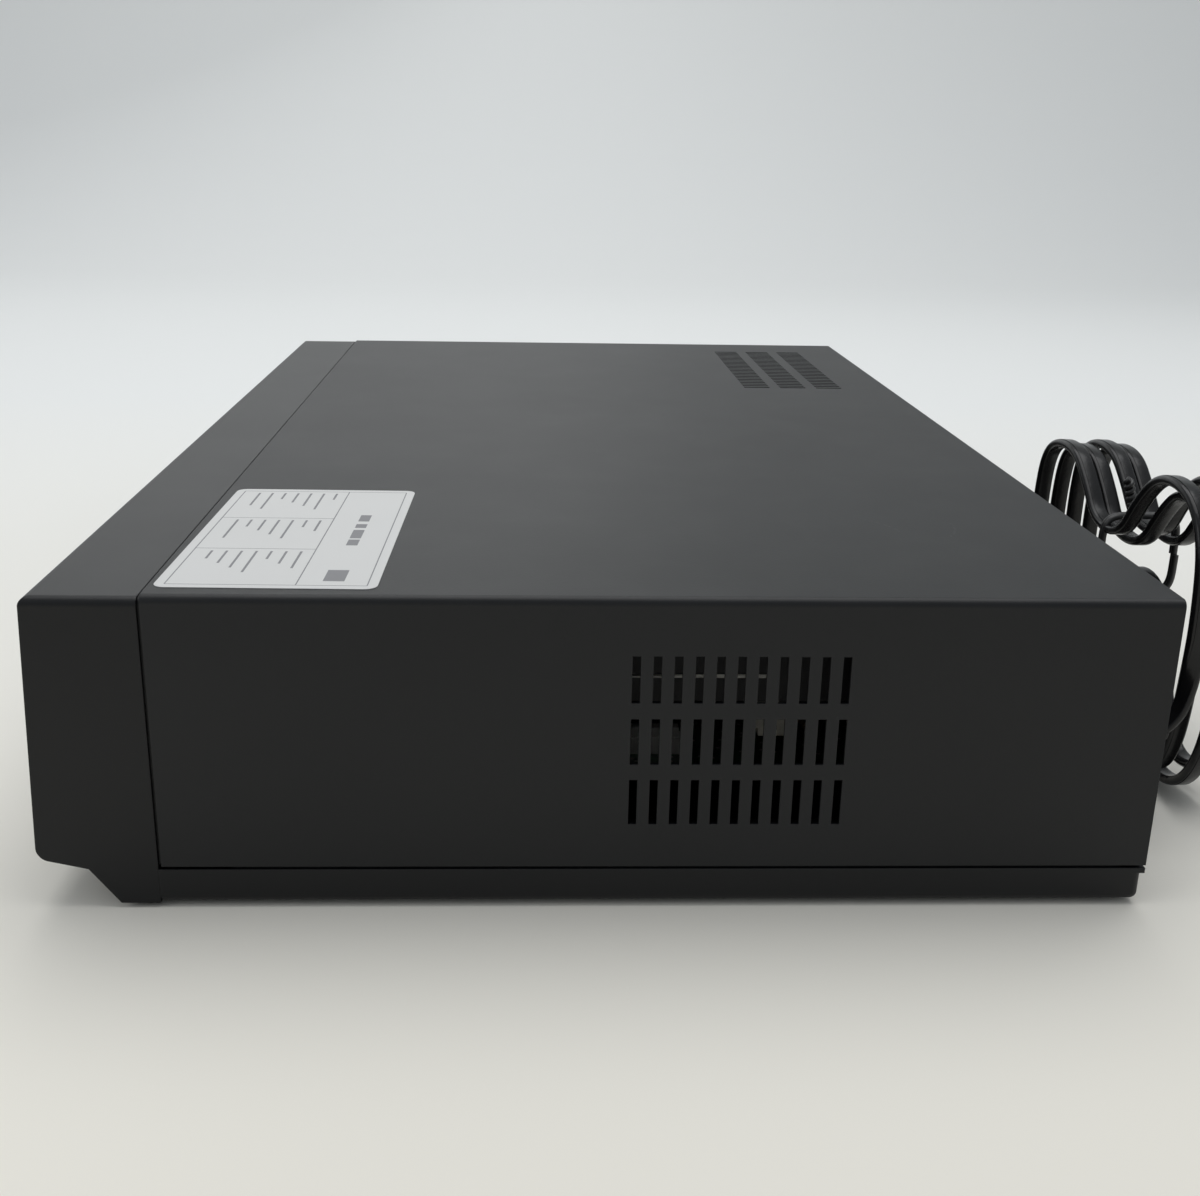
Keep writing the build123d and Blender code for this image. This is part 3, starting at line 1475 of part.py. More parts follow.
pieces = {
    "base_frame": base_frame, "top_cover": top_cover, "front_panel": front_panel, "rear_panel": rear_panel,
    "feet": feet, "case_screws": case_screws, "paper_label": paper_label, "cassette_door": cassette_door,
    "display_window": display_window, "display_module": display_module, "front_board": front_board,
    "front_jacks": front_jacks, "channel_rocker": channel_rocker, "rear_jacks": rear_jacks,
    "tuner_module": tuner_module, "main_board": main_board, "circuit_parts": circuit_parts,
    "power_board": power_board, "transformer": transformer, "heat_sink": heat_sink,
    "deck_chassis": deck_chassis, "cassette_bracket": cassette_bracket, "cassette_holder": cassette_holder,
    "lower_drum": lower_drum, "upper_drum": upper_drum, "capstan": capstan, "capstan_motor": capstan_motor,
    "pinch_arm": pinch_arm, "pinch_roller": pinch_roller, "loader_frame": loader_frame,
    "disc_tray": disc_tray, "tray_front": tray_front, "tray_gear": tray_gear, "tray_motor": tray_motor,
    "traverse": traverse, "spindle_motor": spindle_motor, "turntable": turntable, "pickup": pickup,
    "clamp_bridge": clamp_bridge, "clamper": clamper, "cord_bush": cord_bush, "power_cord": power_cord,
    "cord_hank": cord_hank, "cord_tail": cord_tail, "cord_tie": cord_tie, "mains_plug": mains_plug,
}
pieces.update(reel_parts)
pieces.update(button_parts)

os.makedirs("parts", exist_ok=True)
for name, piece in pieces.items():
    piece.part.label = name
    export_step(piece.part, f"parts/{name}.step")
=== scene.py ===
"""Looks of a disc and tape combination player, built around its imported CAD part."""

import logging
import math
from dataclasses import dataclass, field
from enum import Enum

import bmesh
import bpy
from mathutils import Matrix, Vector

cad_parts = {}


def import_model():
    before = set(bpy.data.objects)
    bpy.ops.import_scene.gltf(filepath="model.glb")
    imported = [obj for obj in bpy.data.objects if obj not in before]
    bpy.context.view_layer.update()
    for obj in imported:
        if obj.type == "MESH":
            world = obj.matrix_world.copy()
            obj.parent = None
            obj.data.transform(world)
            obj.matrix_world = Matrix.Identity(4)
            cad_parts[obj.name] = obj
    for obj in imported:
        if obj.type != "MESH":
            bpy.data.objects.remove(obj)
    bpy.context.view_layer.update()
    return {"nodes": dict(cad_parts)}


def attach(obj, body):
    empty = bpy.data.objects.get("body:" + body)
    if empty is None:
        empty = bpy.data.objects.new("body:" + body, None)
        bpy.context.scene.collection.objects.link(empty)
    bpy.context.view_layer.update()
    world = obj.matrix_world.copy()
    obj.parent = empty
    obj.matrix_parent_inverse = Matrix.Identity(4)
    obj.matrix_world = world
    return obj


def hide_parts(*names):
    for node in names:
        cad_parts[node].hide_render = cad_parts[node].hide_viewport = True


Colour = tuple[float, float, float]
Point = tuple[float, float, float]
Spot = tuple[float, float]
Socket = bpy.types.NodeSocket
Sockets = dict[str, Socket]
Shape = bmesh.types.BMesh

LOG = logging.getLogger("player")
MM = 0.001
FRONT_Y = -138.9
REAR_Y = 135.4
PANEL_Y = 134.4
COVER_TOP = 81.7
FRONT_TOP = 81.1
LEAN = math.atan2(2.5, 67.5)
DOOR_X = -97.0
DISC_X = 118.0
BOARD_TOP = 13.6
EASE = 0.3
RIGHTWARDS = Vector((1, 0, 0))
REARWARDS = Vector((0, 1, 0))
UPWARDS = Vector((0, 0, 1))
OFF_FACE = Vector((0, -math.cos(LEAN), math.sin(LEAN)))


def metres(x: float, y: float, z: float) -> Vector:
    """A point in metres from millimetres."""
    return Vector((x, y, z)) * MM


def behind(back: float) -> float:
    """The Y, in millimetres, of something this far behind the front's top edge."""
    return FRONT_Y + back


def on_face(x: float, z: float, depth: float = 0.0) -> Point:
    """A point of the leaning front face, or this deep behind it, in millimetres."""
    face_y = FRONT_Y - (FRONT_TOP - z) * math.tan(LEAN)
    return x, face_y + depth * math.cos(LEAN), z - depth * math.sin(LEAN)


def circle(sides: int) -> list[Spot]:
    """Cosine and sine at each step round a circle."""
    return [(math.cos(2 * math.pi * n / sides), math.sin(2 * math.pi * n / sides)) for n in range(sides)]


def around(middle: Point, radius: float, angles: tuple[float, ...] | range) -> list[Point]:
    """Points about a middle at angles in degrees."""
    turns = [math.radians(angle) for angle in angles]
    return [(middle[0] + radius * math.cos(a), middle[1] + radius * math.sin(a), middle[2]) for a in turns]


def squared(value: float, square: float) -> float:
    """A cosine or sine pushed outwards, so that a circle turns squarer as square grows from 2."""
    return math.copysign(abs(value) ** (2 / square), value)


def rectangle(half_x: float, half_z: float) -> list[Spot]:
    """Four corners about a middle."""
    return [(-half_x, -half_z), (half_x, -half_z), (half_x, half_z), (-half_x, half_z)]


def put_in_scene(name: str, data: bpy.types.ID) -> bpy.types.Object:
    """A new object in the scene."""
    thing = bpy.data.objects.new(name, data)
    bpy.context.scene.collection.objects.link(thing)
    return thing


# Node trees


class Graph:
    """A node tree in the making. An input takes a value, a colour or another node's socket."""

    def __init__(self, tree: bpy.types.NodeTree) -> None:
        """Keeps the tree."""
        self.tree = tree

    def feed(self, node: bpy.types.Node, inputs: dict) -> None:
        """Sets a node's inputs.

        Args:
            node: The node.
            inputs: What each input gets, by name or number.
        """
        for name, value in inputs.items():
            socket = node.inputs[name]
            if isinstance(value, Socket):
                self.tree.links.new(value, socket)
            elif socket.type == "RGBA":
                socket.default_value = (*value, 1.0)
            else:
                socket.default_value = value

    def add(self, kind: str, inputs: dict | None = None, **options: object) -> Sockets:
        """Adds a node.

        Args:
            kind: Its type.
            inputs: What each input gets, by name or number.
            options: Its own settings.

        Returns:
            Its outputs by name.
        """
        node = self.tree.nodes.new(kind)
        for name, value in options.items():
            setattr(node, name, value)
        self.feed(node, inputs or {})
        return {socket.name: socket for socket in node.outputs if socket.enabled}

    def effect(self, group: bpy.types.NodeTree, inputs: dict) -> Sockets:
        """Places a shared group."""
        return self.add("ShaderNodeGroup", inputs, node_tree=group)

    def math(self, operation: str, *terms: Socket | float, clamp: bool = False) -> Socket:
        """A number worked out from others."""
        return self.add("ShaderNodeMath", dict(enumerate(terms)), operation=operation, use_clamp=clamp)["Value"]

    def vector(self, operation: str, *terms: Socket, output: str = "Vector") -> Socket:
        """A vector, or its Value, worked out from others."""
        return self.add("ShaderNodeVectorMath", dict(enumerate(terms)), operation=operation)[output]

    def noise(self, vector: Socket, scale: Socket | float, detail: float = 2.0) -> Socket:
        """Soft noise."""
        return self.add("ShaderNodeTexNoise", {"Vector": vector, "Scale": scale, "Detail": detail})["Fac"]

    def ramp(self, value: Socket, low: float, high: Socket | float, first: float = 0.0, last: float = 1.0) -> Socket:
        """A number between first and last, by its place between low and high."""
        ends = {"From Min": low, "From Max": high, "To Min": first, "To Max": last}
        return self.add("ShaderNodeMapRange", {"Value": value, **ends})["Result"]

    def blend(self, mask: Socket, under: Socket, over: Socket | Colour) -> Socket:
        """A colour laid over another where a mask says."""
        return self.add("ShaderNodeMix", {"Factor": mask, "A": under, "B": over}, data_type="RGBA")["Result"]


@dataclass
class Group:
    """A node group in the making."""

    name: str
    kind: str
    inputs: dict[str, str]
    outputs: dict[str, str]

    def start(self) -> tuple[Graph, Sockets, bpy.types.Node]:
        """Makes the tree with its sockets.

        Returns:
            Its graph, the sockets that bring its inputs, and its output node.
        """
        tree = bpy.data.node_groups.new(self.name, self.kind)
        for way, sockets in (("INPUT", self.inputs), ("OUTPUT", self.outputs)):
            for label, sort in sockets.items():
                tree.interface.new_socket(name=label, in_out=way, socket_type=f"NodeSocket{sort}")
        graph = Graph(tree)
        return graph, graph.add("NodeGroupInput"), tree.nodes.new("NodeGroupOutput")


class ShaderGroups:
    """The effects that several finishes share, each a node group built once."""

    def __init__(self) -> None:
        """Builds every group."""
        self.grain = self._grain()
        self.drift = self._drift()
        self.edge = self._edge()
        self.dust = self._dust()
        self.bar = self._bar()
        self.rub = self._rub()

    @staticmethod
    def _start(name: str, inputs: dict[str, str], outputs: dict[str, str]) -> tuple:
        """Starts a shader group."""
        return Group(name, "ShaderNodeTree", inputs, outputs).start()

    def _grain(self) -> bpy.types.NodeTree:
        """Fine moulded or sprayed grain, as a height, and a wide mask for roughness."""
        graph, given, leave = self._start(
            "fine_grain", {"Vector": "Vector", "Scale": "Float"}, {"Height": "Float", "Mask": "Float"}
        )
        wide_scale = 18.0
        fine = graph.noise(given["Vector"], given["Scale"], 3.0)
        graph.feed(leave, {"Height": fine, "Mask": graph.noise(given["Vector"], wide_scale)})
        return graph.tree

    def _drift(self) -> bpy.types.NodeTree:
        """A slow drift between two close colours."""
        graph, given, leave = self._start(
            "colour_drift", {"Vector": "Vector", "Scale": "Float", "Base": "Color", "Tone": "Color"},
            {"Color": "Color"},
        )
        slow = graph.noise(given["Vector"], given["Scale"], 4.0)
        graph.feed(leave, {"Color": graph.blend(slow, given["Base"], given["Tone"])})
        return graph.tree

    def _edge(self) -> bpy.types.NodeTree:
        """Where an edge is, and a normal that rounds it."""
        graph, given, leave = self._start(
            "rounded_edge", {"Radius": "Float", "Amount": "Float"}, {"Mask": "Float", "Normal": "Vector"}
        )
        rounded = graph.add("ShaderNodeBevel", {"Radius": given["Radius"]}, samples=4)["Normal"]
        flat = graph.add("ShaderNodeNewGeometry")["Normal"]
        bent = graph.math("SUBTRACT", 1.0, graph.vector("DOT_PRODUCT", rounded, flat, output="Value"))
        mask = graph.math("MULTIPLY", bent, given["Amount"], clamp=True)
        graph.feed(leave, {"Mask": mask, "Normal": rounded})
        return graph.tree

    def _dust(self) -> bpy.types.NodeTree:
        """A thin uneven film on faces that look up."""
        graph, given, leave = self._start(
            "dust_film", {"Vector": "Vector", "Scale": "Float", "Amount": "Float"}, {"Mask": "Float"}
        )
        patches = graph.ramp(graph.noise(given["Vector"], given["Scale"], 6.0), 0.45, 0.75)
        normal = graph.add("ShaderNodeNewGeometry")["Normal"]
        upward = graph.add("ShaderNodeSeparateXYZ", {"Vector": normal})["Z"]
        film = graph.math("MULTIPLY", patches, upward, clamp=True)
        graph.feed(leave, {"Mask": graph.math("MULTIPLY", film, given["Amount"])})
        return graph.tree

    def _rub(self) -> bpy.types.NodeTree:
        """A short curved rub mark: a broken arc about a centre, as a mask."""
        graph, given, leave = self._start(
            "rub_mark",
            {"Vector": "Vector", "Centre": "Vector", "Side": "Vector", "Radius": "Float", "Width": "Float"},
            {"Mask": "Float"},
        )
        arc_cosine, strength, speck_scale = 0.94, 0.6, 700.0
        away = graph.vector("SUBTRACT", given["Vector"], given["Centre"])
        distance = graph.vector("LENGTH", away, output="Value")
        facing = graph.vector("DOT_PRODUCT", graph.vector("NORMALIZE", away), given["Side"], output="Value")
        off = graph.math("ABSOLUTE", graph.math("SUBTRACT", distance, given["Radius"]))
        fade = graph.ramp(off, 0.0, given["Width"], strength, 0.0)
        arc = graph.math("MULTIPLY", fade, graph.math("GREATER_THAN", facing, arc_cosine))
        broken = graph.ramp(graph.noise(given["Vector"], speck_scale), 0.42, 0.6)
        graph.feed(leave, {"Mask": graph.math("MULTIPLY", arc, broken)})
        return graph.tree

    def _bar(self) -> bpy.types.NodeTree:
        """A printed rectangle in the plane of X and Y, as a mask."""
        graph, given, leave = self._start(
            "printed_bar", {"Vector": "Vector", "Middle": "Vector", "Half": "Vector"}, {"Mask": "Float"}
        )
        away = graph.vector("ABSOLUTE", graph.vector("SUBTRACT", given["Vector"], given["Middle"]))
        room = graph.add("ShaderNodeSeparateXYZ", {"Vector": graph.vector("SUBTRACT", given["Half"], away)})
        inside = graph.math("GREATER_THAN", graph.math("MINIMUM", room["X"], room["Y"]), 0.0)
        graph.feed(leave, {"Mask": inside})
        return graph.tree


# Finishes


class Pattern(Enum):
    """What a finish shows besides its grain."""

    PLAIN = "plain"
    BRUSHED = "brushed"
    SPANGLE = "spangle"
    TRACKS = "tracks"
    PRINTED = "printed"
    RUBBED = "rubbed"


@dataclass(frozen=True)
class Spangle:
    """The crystal pattern of zinc on steel sheet."""

    scale: float = 160.0
    share: float = 0.3
    colour: Colour = (0.32, 0.33, 0.34)

    def lay(self, graph: Graph, groups: ShaderGroups, vector: Socket, under: Socket) -> Socket:
        """Lays the crystals over a colour; the arguments are those of RubMarks.lay."""
        cells = graph.add("ShaderNodeTexVoronoi", {"Vector": vector, "Scale": self.scale})
        tint = graph.add("ShaderNodeSeparateColor", {"Color": cells["Color"]})["Red"]
        return graph.blend(graph.math("MULTIPLY", tint, self.share), under, self.colour)


@dataclass(frozen=True)
class Tracks:
    """Copper tracks and pads that show through a board's green mask."""

    track_scale: float = 150.0
    track_width: float = 0.09
    track_colour: Colour = (0.03, 0.11, 0.035)
    pad_scale: float = 300.0
    pad_width: float = 0.2
    pad_colour: Colour = (0.45, 0.45, 0.42)

    def lay(self, graph: Graph, groups: ShaderGroups, vector: Socket, under: Socket) -> Socket:
        """Lays them over a colour; the arguments are those of RubMarks.lay."""
        lines = graph.add(
            "ShaderNodeTexVoronoi", {"Vector": vector, "Scale": self.track_scale}, distance="MANHATTAN",
            feature="DISTANCE_TO_EDGE",
        )
        pads = graph.add("ShaderNodeTexVoronoi", {"Vector": vector, "Scale": self.pad_scale})
        line_mask = graph.math("LESS_THAN", lines["Distance"], self.track_width)
        pad_mask = graph.math("LESS_THAN", pads["Distance"], self.pad_width)
        return graph.blend(pad_mask, graph.blend(line_mask, under, self.track_colour), self.pad_colour)


@dataclass(frozen=True)
class RubMarks:
    """Short curved rub marks on the cover's top: place and turn of each."""

    spots: tuple[Point, ...] = ((-132.4, -81.6, 40.0), (147.4, 79.1, 120.0), (152.2, 97.6, 75.0))
    radius: float = 22.0
    width: float = 0.5
    colour: Colour = (0.05, 0.052, 0.056)

    def lay(self, graph: Graph, groups: ShaderGroups, vector: Socket, under: Socket) -> Socket:
        """Lays the marks over the paint's colour.

        Args:
            graph: The material's nodes.
            groups: The shared effects.
            vector: Object coordinates.
            under: The clean colour.

        Returns:
            The marked colour.
        """
        for x, y, turn in self.spots:
            side = Vector((math.cos(math.radians(turn)), math.sin(math.radians(turn)), 0.0))
            mark = graph.effect(groups.rub, {
                "Vector": vector, "Centre": metres(x, y, COVER_TOP) - side * self.radius * MM, "Side": side,
                "Radius": self.radius * MM, "Width": self.width * MM,
            })
            under = graph.blend(mark["Mask"], under, self.colour)
        return under


@dataclass(frozen=True)
class LabelPrint:
    """The generic print of the paper label: a frame, ruled cells and grey bars for writing."""

    middle: Point = (160.5, -82.5, 81.8)
    turn: float = -1.0
    half_long: float = 46.0
    half_deep: float = 24.0
    line: float = 0.16
    cells: int = 3
    rows: int = 7
    first_row: float = 3.4
    row_step: float = 3.8
    row_half: float = 0.32
    cell_inset: float = 0.07
    title_edge: float = 7.0
    title_middle: float = 15.5
    title_words: tuple[float, ...] = (3.4, 2.0, 4.2, 2.8)
    title_start: float = -16.0
    title_step: float = 8.2
    title_half: float = 1.5
    block: tuple[float, float, float] = (38.0, 4.6, 2.6)
    ink_colour: Colour = (0.2, 0.2, 0.21)

    def bars(self) -> list[tuple[float, float, float, float]]:
        """Middle and half size of each printed bar, in millimetres on the label.

        Returns:
            The frame, the cell lines, a bar for each row of writing, and the title's bars.
        """
        found = []
        for side in (-1, 1):
            found.append((0.0, side * self.half_deep, self.half_long, self.line))
            found.append((side * self.half_long, 0.0, self.line, self.half_deep))
        found.append((0.0, self.title_edge, self.half_long, self.line))
        cell = 2 * self.half_long / self.cells
        deep = (self.half_deep + self.title_edge) / 2
        for place in range(1, self.cells):
            found.append((place * cell - self.half_long, self.title_edge - deep, self.line, deep))
        for place in range(self.cells):
            start = (place + self.cell_inset) * cell - self.half_long
            for row in range(self.rows):
                half = 3.6 + 1.9 * ((place * 5 + row * 3) % 4)
                y = self.title_edge - self.first_row - row * self.row_step
                found.append((start + half, y, half, self.row_half))
        for place, half in enumerate(self.title_words):
            found.append((self.title_start + place * self.title_step, self.title_middle, half, self.title_half))
        return [*found, (self.block[0], self.title_middle, self.block[1], self.block[2])]

    def lay(self, graph: Graph, groups: ShaderGroups, vector: Socket, under: Socket) -> Socket:
        """Prints the bars on the paper's colour; the arguments are those of RubMarks.lay."""
        flat = graph.add("ShaderNodeMapping", {
            "Vector": vector, "Location": metres(*self.middle), "Rotation": (0.0, 0.0, math.radians(self.turn)),
            "Scale": (MM, MM, MM),
        }, vector_type="TEXTURE")["Vector"]
        total = None
        for x, y, half_x, half_y in self.bars():
            inputs = {"Vector": flat, "Middle": (x, y, 0.0), "Half": (half_x, half_y, 1.0)}
            mask = graph.effect(groups.bar, inputs)["Mask"]
            total = graph.math("MAXIMUM", total, mask) if total else mask
        return graph.blend(total, under, self.ink_colour)


LAID = {
    Pattern.SPANGLE: Spangle(), Pattern.TRACKS: Tracks(), Pattern.PRINTED: LabelPrint(), Pattern.RUBBED: RubMarks(),
}


@dataclass(frozen=True)
class Finish:
    """One real finish, from which a node material is made."""

    name: str
    base: Colour
    tone: Colour
    roughness: float = 0.45
    rough_spread: float = 0.1
    metallic: float = 0.0
    specular: float = 0.5
    grain_scale: float = 1800.0
    grain_depth: float = 0.00002
    drift_scale: float = 14.0
    # The edge mask lightens edges with this colour: partly edge wear, partly a painted highlight along rounded edges.
    edge_wear_and_highlight: float = 0.0
    edge_wear_and_highlight_colour: Colour = (0.1, 0.1, 0.1)
    edge_radius: float = 0.0
    dust: float = 0.0
    dust_scale: float = 60.0
    dust_colour: Colour = (0.35, 0.35, 0.33)
    coat: float = 0.0
    transmission: float = 0.0
    pattern: Pattern = Pattern.PLAIN
    brush_stretch: Point = (40.0, 40.0, 6000.0)

    def build(self, groups: ShaderGroups) -> bpy.types.Material:
        """Makes the material.

        Args:
            groups: The shared effects.

        Returns:
            The node material of this finish.
        """
        made = bpy.data.materials.new(self.name)
        made.use_nodes = True
        graph = Graph(made.node_tree)
        shader = made.node_tree.nodes["Principled BSDF"]
        place = graph.add("ShaderNodeTexCoord")["Object"]
        grain = graph.effect(groups.grain, {"Vector": place, "Scale": self.grain_scale})
        colour = graph.effect(groups.drift, {
            "Vector": place, "Scale": self.drift_scale, "Base": self.base, "Tone": self.tone,
        })["Color"]
        if self.pattern in LAID:
            colour = LAID[self.pattern].lay(graph, groups, place, colour)
        height = grain["Height"]
        if self.pattern is Pattern.BRUSHED:
            stretched = graph.add("ShaderNodeMapping", {"Vector": place, "Scale": self.brush_stretch})
            height = graph.noise(stretched["Vector"], 1.0)
        bump = {"Strength": 1.0, "Distance": self.grain_depth, "Height": height}
        if self.edge_radius > 0.0:
            edge = graph.effect(groups.edge, {"Radius": self.edge_radius, "Amount": self.edge_wear_and_highlight})
            bump["Normal"] = edge["Normal"]
            # Lightens the edges: partly wear, partly a painted highlight on the rounded edges.
            colour = graph.blend(edge["Mask"], colour, self.edge_wear_and_highlight_colour)
        if self.dust > 0.0:
            film = graph.effect(groups.dust, {"Vector": place, "Scale": self.dust_scale, "Amount": self.dust})
            colour = graph.blend(film["Mask"], colour, self.dust_colour)
        low, high = self.roughness - self.rough_spread, self.roughness + self.rough_spread
        graph.feed(shader, {
            "Metallic": self.metallic, "Specular IOR Level": self.specular, "Coat Weight": self.coat,
            "Transmission Weight": self.transmission, "Base Color": colour,
            "Roughness": graph.ramp(grain["Mask"], 0.0, 1.0, low, high),
            "Normal": graph.add("ShaderNodeBump", bump)["Normal"],
        })
        return made


FINISHES = (
    # The lighter edges of this finish are partly wear, partly a painted highlight.
    Finish(
        "satin_black_moulding", (0.0016, 0.002, 0.003), (0.003, 0.0035, 0.0046), roughness=0.4, rough_spread=0.02,
        specular=0.34, grain_scale=2600.0, grain_depth=0.000012, edge_wear_and_highlight=0.5, edge_wear_and_highlight_colour=(0.03, 0.03, 0.03),
        edge_radius=0.0006, dust=0.012,
    ),
    # The lighter edges of this finish are partly wear, partly a painted highlight.
    Finish(
        "black_powder_paint", (0.0045, 0.005, 0.0062), (0.007, 0.0077, 0.009), roughness=0.44, rough_spread=0.02,
        specular=0.34, grain_scale=1500.0, edge_wear_and_highlight=0.4, edge_wear_and_highlight_colour=(0.04, 0.04, 0.04), edge_radius=0.0004,
        dust=0.015, pattern=Pattern.RUBBED,
    ),
    Finish(
        "black_rubber", (0.02, 0.02, 0.02), (0.03, 0.03, 0.03), roughness=0.8, grain_scale=900.0,
        grain_depth=0.00004, dust=0.1,
    ),
    Finish(
        "blackened_screw_steel", (0.05, 0.05, 0.055), (0.09, 0.09, 0.09), roughness=0.35, metallic=0.9,
        grain_scale=3000.0,
    ),
    Finish(
        "label_paper", (0.6, 0.6, 0.59), (0.65, 0.65, 0.64), roughness=0.5, grain_scale=2500.0,
        grain_depth=0.00001, pattern=Pattern.PRINTED,
    ),
    Finish(
        "smoked_acrylic", (0.04, 0.04, 0.044), (0.05, 0.05, 0.054), roughness=0.06, rough_spread=0.02,
        transmission=0.9, grain_depth=0.000001,
    ),
    Finish(
        "unlit_display_glass", (0.02, 0.03, 0.03), (0.03, 0.045, 0.045), roughness=0.12, rough_spread=0.04,
        coat=0.5,
    ),
    Finish("unlit_phosphor", (0.09, 0.11, 0.11), (0.11, 0.13, 0.13), roughness=0.35),
    Finish(
        "green_circuit_board", (0.012, 0.06, 0.022), (0.018, 0.075, 0.03), roughness=0.3, coat=0.3,
        pattern=Pattern.TRACKS,
    ),
    Finish(
        "black_socket_plastic", (0.02, 0.02, 0.02), (0.03, 0.03, 0.03), roughness=0.35, grain_scale=2200.0
    ),
    Finish(
        "tinned_steel", (0.5, 0.5, 0.49), (0.62, 0.62, 0.6), roughness=0.32, metallic=1.0, grain_scale=900.0,
        edge_radius=0.0003,
    ),
    Finish("chip_moulding", (0.025, 0.025, 0.027), (0.035, 0.035, 0.037), roughness=0.6, grain_scale=3500.0),
    Finish("capacitor_sleeve", (0.015, 0.02, 0.06), (0.02, 0.03, 0.08), roughness=0.3, grain_depth=0.000004),
    Finish("resistor_lacquer", (0.42, 0.27, 0.13), (0.5, 0.34, 0.18), roughness=0.35, drift_scale=500.0),
    Finish(
        "ferrite_core", (0.03, 0.03, 0.032), (0.05, 0.05, 0.052), roughness=0.55, grain_scale=1500.0,
        edge_radius=0.0005,
    ),
    Finish("yellow_winding_tape", (0.62, 0.42, 0.05), (0.7, 0.5, 0.08), roughness=0.3, grain_scale=500.0),
    Finish(
        "turned_aluminium", (0.68, 0.69, 0.7), (0.78, 0.78, 0.79), roughness=0.24, metallic=1.0,
        grain_depth=0.000008, edge_radius=0.0003, pattern=Pattern.BRUSHED,
    ),
    Finish(
        "zinc_plated_steel", (0.42, 0.43, 0.44), (0.55, 0.56, 0.57), roughness=0.36, metallic=1.0,
        edge_radius=0.0003, pattern=Pattern.SPANGLE,
    ),
    Finish(
        "dark_mechanism_moulding", (0.014, 0.014, 0.015), (0.02, 0.02, 0.021), roughness=0.5,
        grain_scale=1600.0, edge_radius=0.0003, edge_wear_and_highlight=0.3,
    ),
    Finish("natural_nylon", (0.68, 0.66, 0.6), (0.75, 0.73, 0.67), roughness=0.4, grain_scale=1200.0),
    Finish("aged_nylon", (0.36, 0.34, 0.29), (0.42, 0.4, 0.34), grain_scale=1200.0),
    Finish(
        "black_lead_sheath", (0.005, 0.005, 0.0055), (0.008, 0.008, 0.0085), roughness=0.26, rough_spread=0.05,
        specular=0.3, grain_scale=420.0, grain_depth=0.00008,
    ),
    Finish("twist_tie_plastic", (0.02, 0.02, 0.02), (0.03, 0.03, 0.03), roughness=0.4, grain_scale=700.0),
    Finish("nickel_brass", (0.62, 0.58, 0.5), (0.72, 0.68, 0.6), roughness=0.25, metallic=1.0),
    Finish("printed_legend", (0.42, 0.43, 0.43), (0.48, 0.49, 0.49), roughness=0.5, grain_depth=0.000002),
    Finish("yellow_socket_ring", (0.75, 0.5, 0.02), (0.8, 0.55, 0.03), roughness=0.35),
    Finish("white_socket_ring", (0.75, 0.75, 0.72), (0.8, 0.8, 0.77), roughness=0.35),
    Finish("red_socket_ring", (0.5, 0.012, 0.012), (0.56, 0.02, 0.02), roughness=0.35),
    Finish("pickup_lens", (0.05, 0.07, 0.16), (0.07, 0.05, 0.14), roughness=0.05, rough_spread=0.02, coat=1.0),
    Finish(
        "gloss_black_trim", (0.01, 0.01, 0.01), (0.013, 0.013, 0.013), roughness=0.14, rough_spread=0.05,
        coat=0.5, grain_depth=0.000002,
    ),
)

NODE_FINISH = {
    "satin_black_moulding": "base_frame front_panel cassette_door tray_front channel_rocker power_button "
    "source_button rewind_button play_button forward_button stop_button record_button open_button "
    "disc_play_button disc_stop_button",
    "black_powder_paint": "top_cover rear_panel",
    "black_rubber": "feet pinch_roller",
    "smoked_acrylic": "display_window",
    "unlit_display_glass": "display_module",
    "green_circuit_board": "front_board main_board power_board capstan_motor",
    "black_socket_plastic": "front_jacks rear_jacks",
    "tinned_steel": "tuner_module tray_motor spindle_motor clamp_bridge pinch_arm capstan",
    "ferrite_core": "transformer",
    "turned_aluminium": "lower_drum upper_drum",
    "zinc_plated_steel": "deck_chassis cassette_bracket cassette_holder traverse",
    "dark_mechanism_moulding": "loader_frame disc_tray turntable supply_reel takeup_reel pickup",
    "natural_nylon": "tray_gear clamper",
}


class Palette:
    """Every finish as a material, made once."""

    def __init__(self) -> None:
        """Builds the groups and the materials."""
        groups = ShaderGroups()
        self.made = {finish.name: finish.build(groups) for finish in FINISHES}

    def __getitem__(self, name: str) -> bpy.types.Material:
        """The material of a finish."""
        return self.made[name]

    def dress(self, nodes: dict[str, bpy.types.Object]) -> None:
        """Gives each CAD node that stays its finish.

        Args:
            nodes: The CAD nodes by name.
        """
        for finish, names in NODE_FINISH.items():
            for name in names.split():
                nodes[name].data.materials.clear()
                nodes[name].data.materials.append(self.made[finish])


# Mesh helpers


def mesh_data(name: str, mesh: Shape) -> bpy.types.Mesh:
    """The mesh as Blender's own data, with its faces outwards; it is used up.

    Args:
        name: The data's name.
        mesh: The mesh.

    Returns:
        The data.
    """
    bmesh.ops.recalc_face_normals(mesh, faces=mesh.faces)
    data = bpy.data.meshes.new(name)
    mesh.to_mesh(data)
    mesh.free()
    return data


def skin(mesh: Shape, rings: list[list[Vector]], closed: bool = False) -> None:
    """Skins rings of points in order.

    Args:
        mesh: The mesh that gets the skin.
        rings: The rings, in metres, all of one count.
        closed: True where the last ring meets the first, False where both ends get a cap.
    """
    made = [[mesh.verts.new(point) for point in ring] for ring in rings]
    for lower, upper in zip(made, made[1:] + made[:1] if closed else made[1:]):
        for step in range(len(lower)):
            after = (step + 1) % len(lower)
            mesh.faces.new((lower[step], lower[after], upper[after], upper[step]))
    if not closed:
        mesh.faces.new(list(reversed(made[0])))
        mesh.faces.new(made[-1])


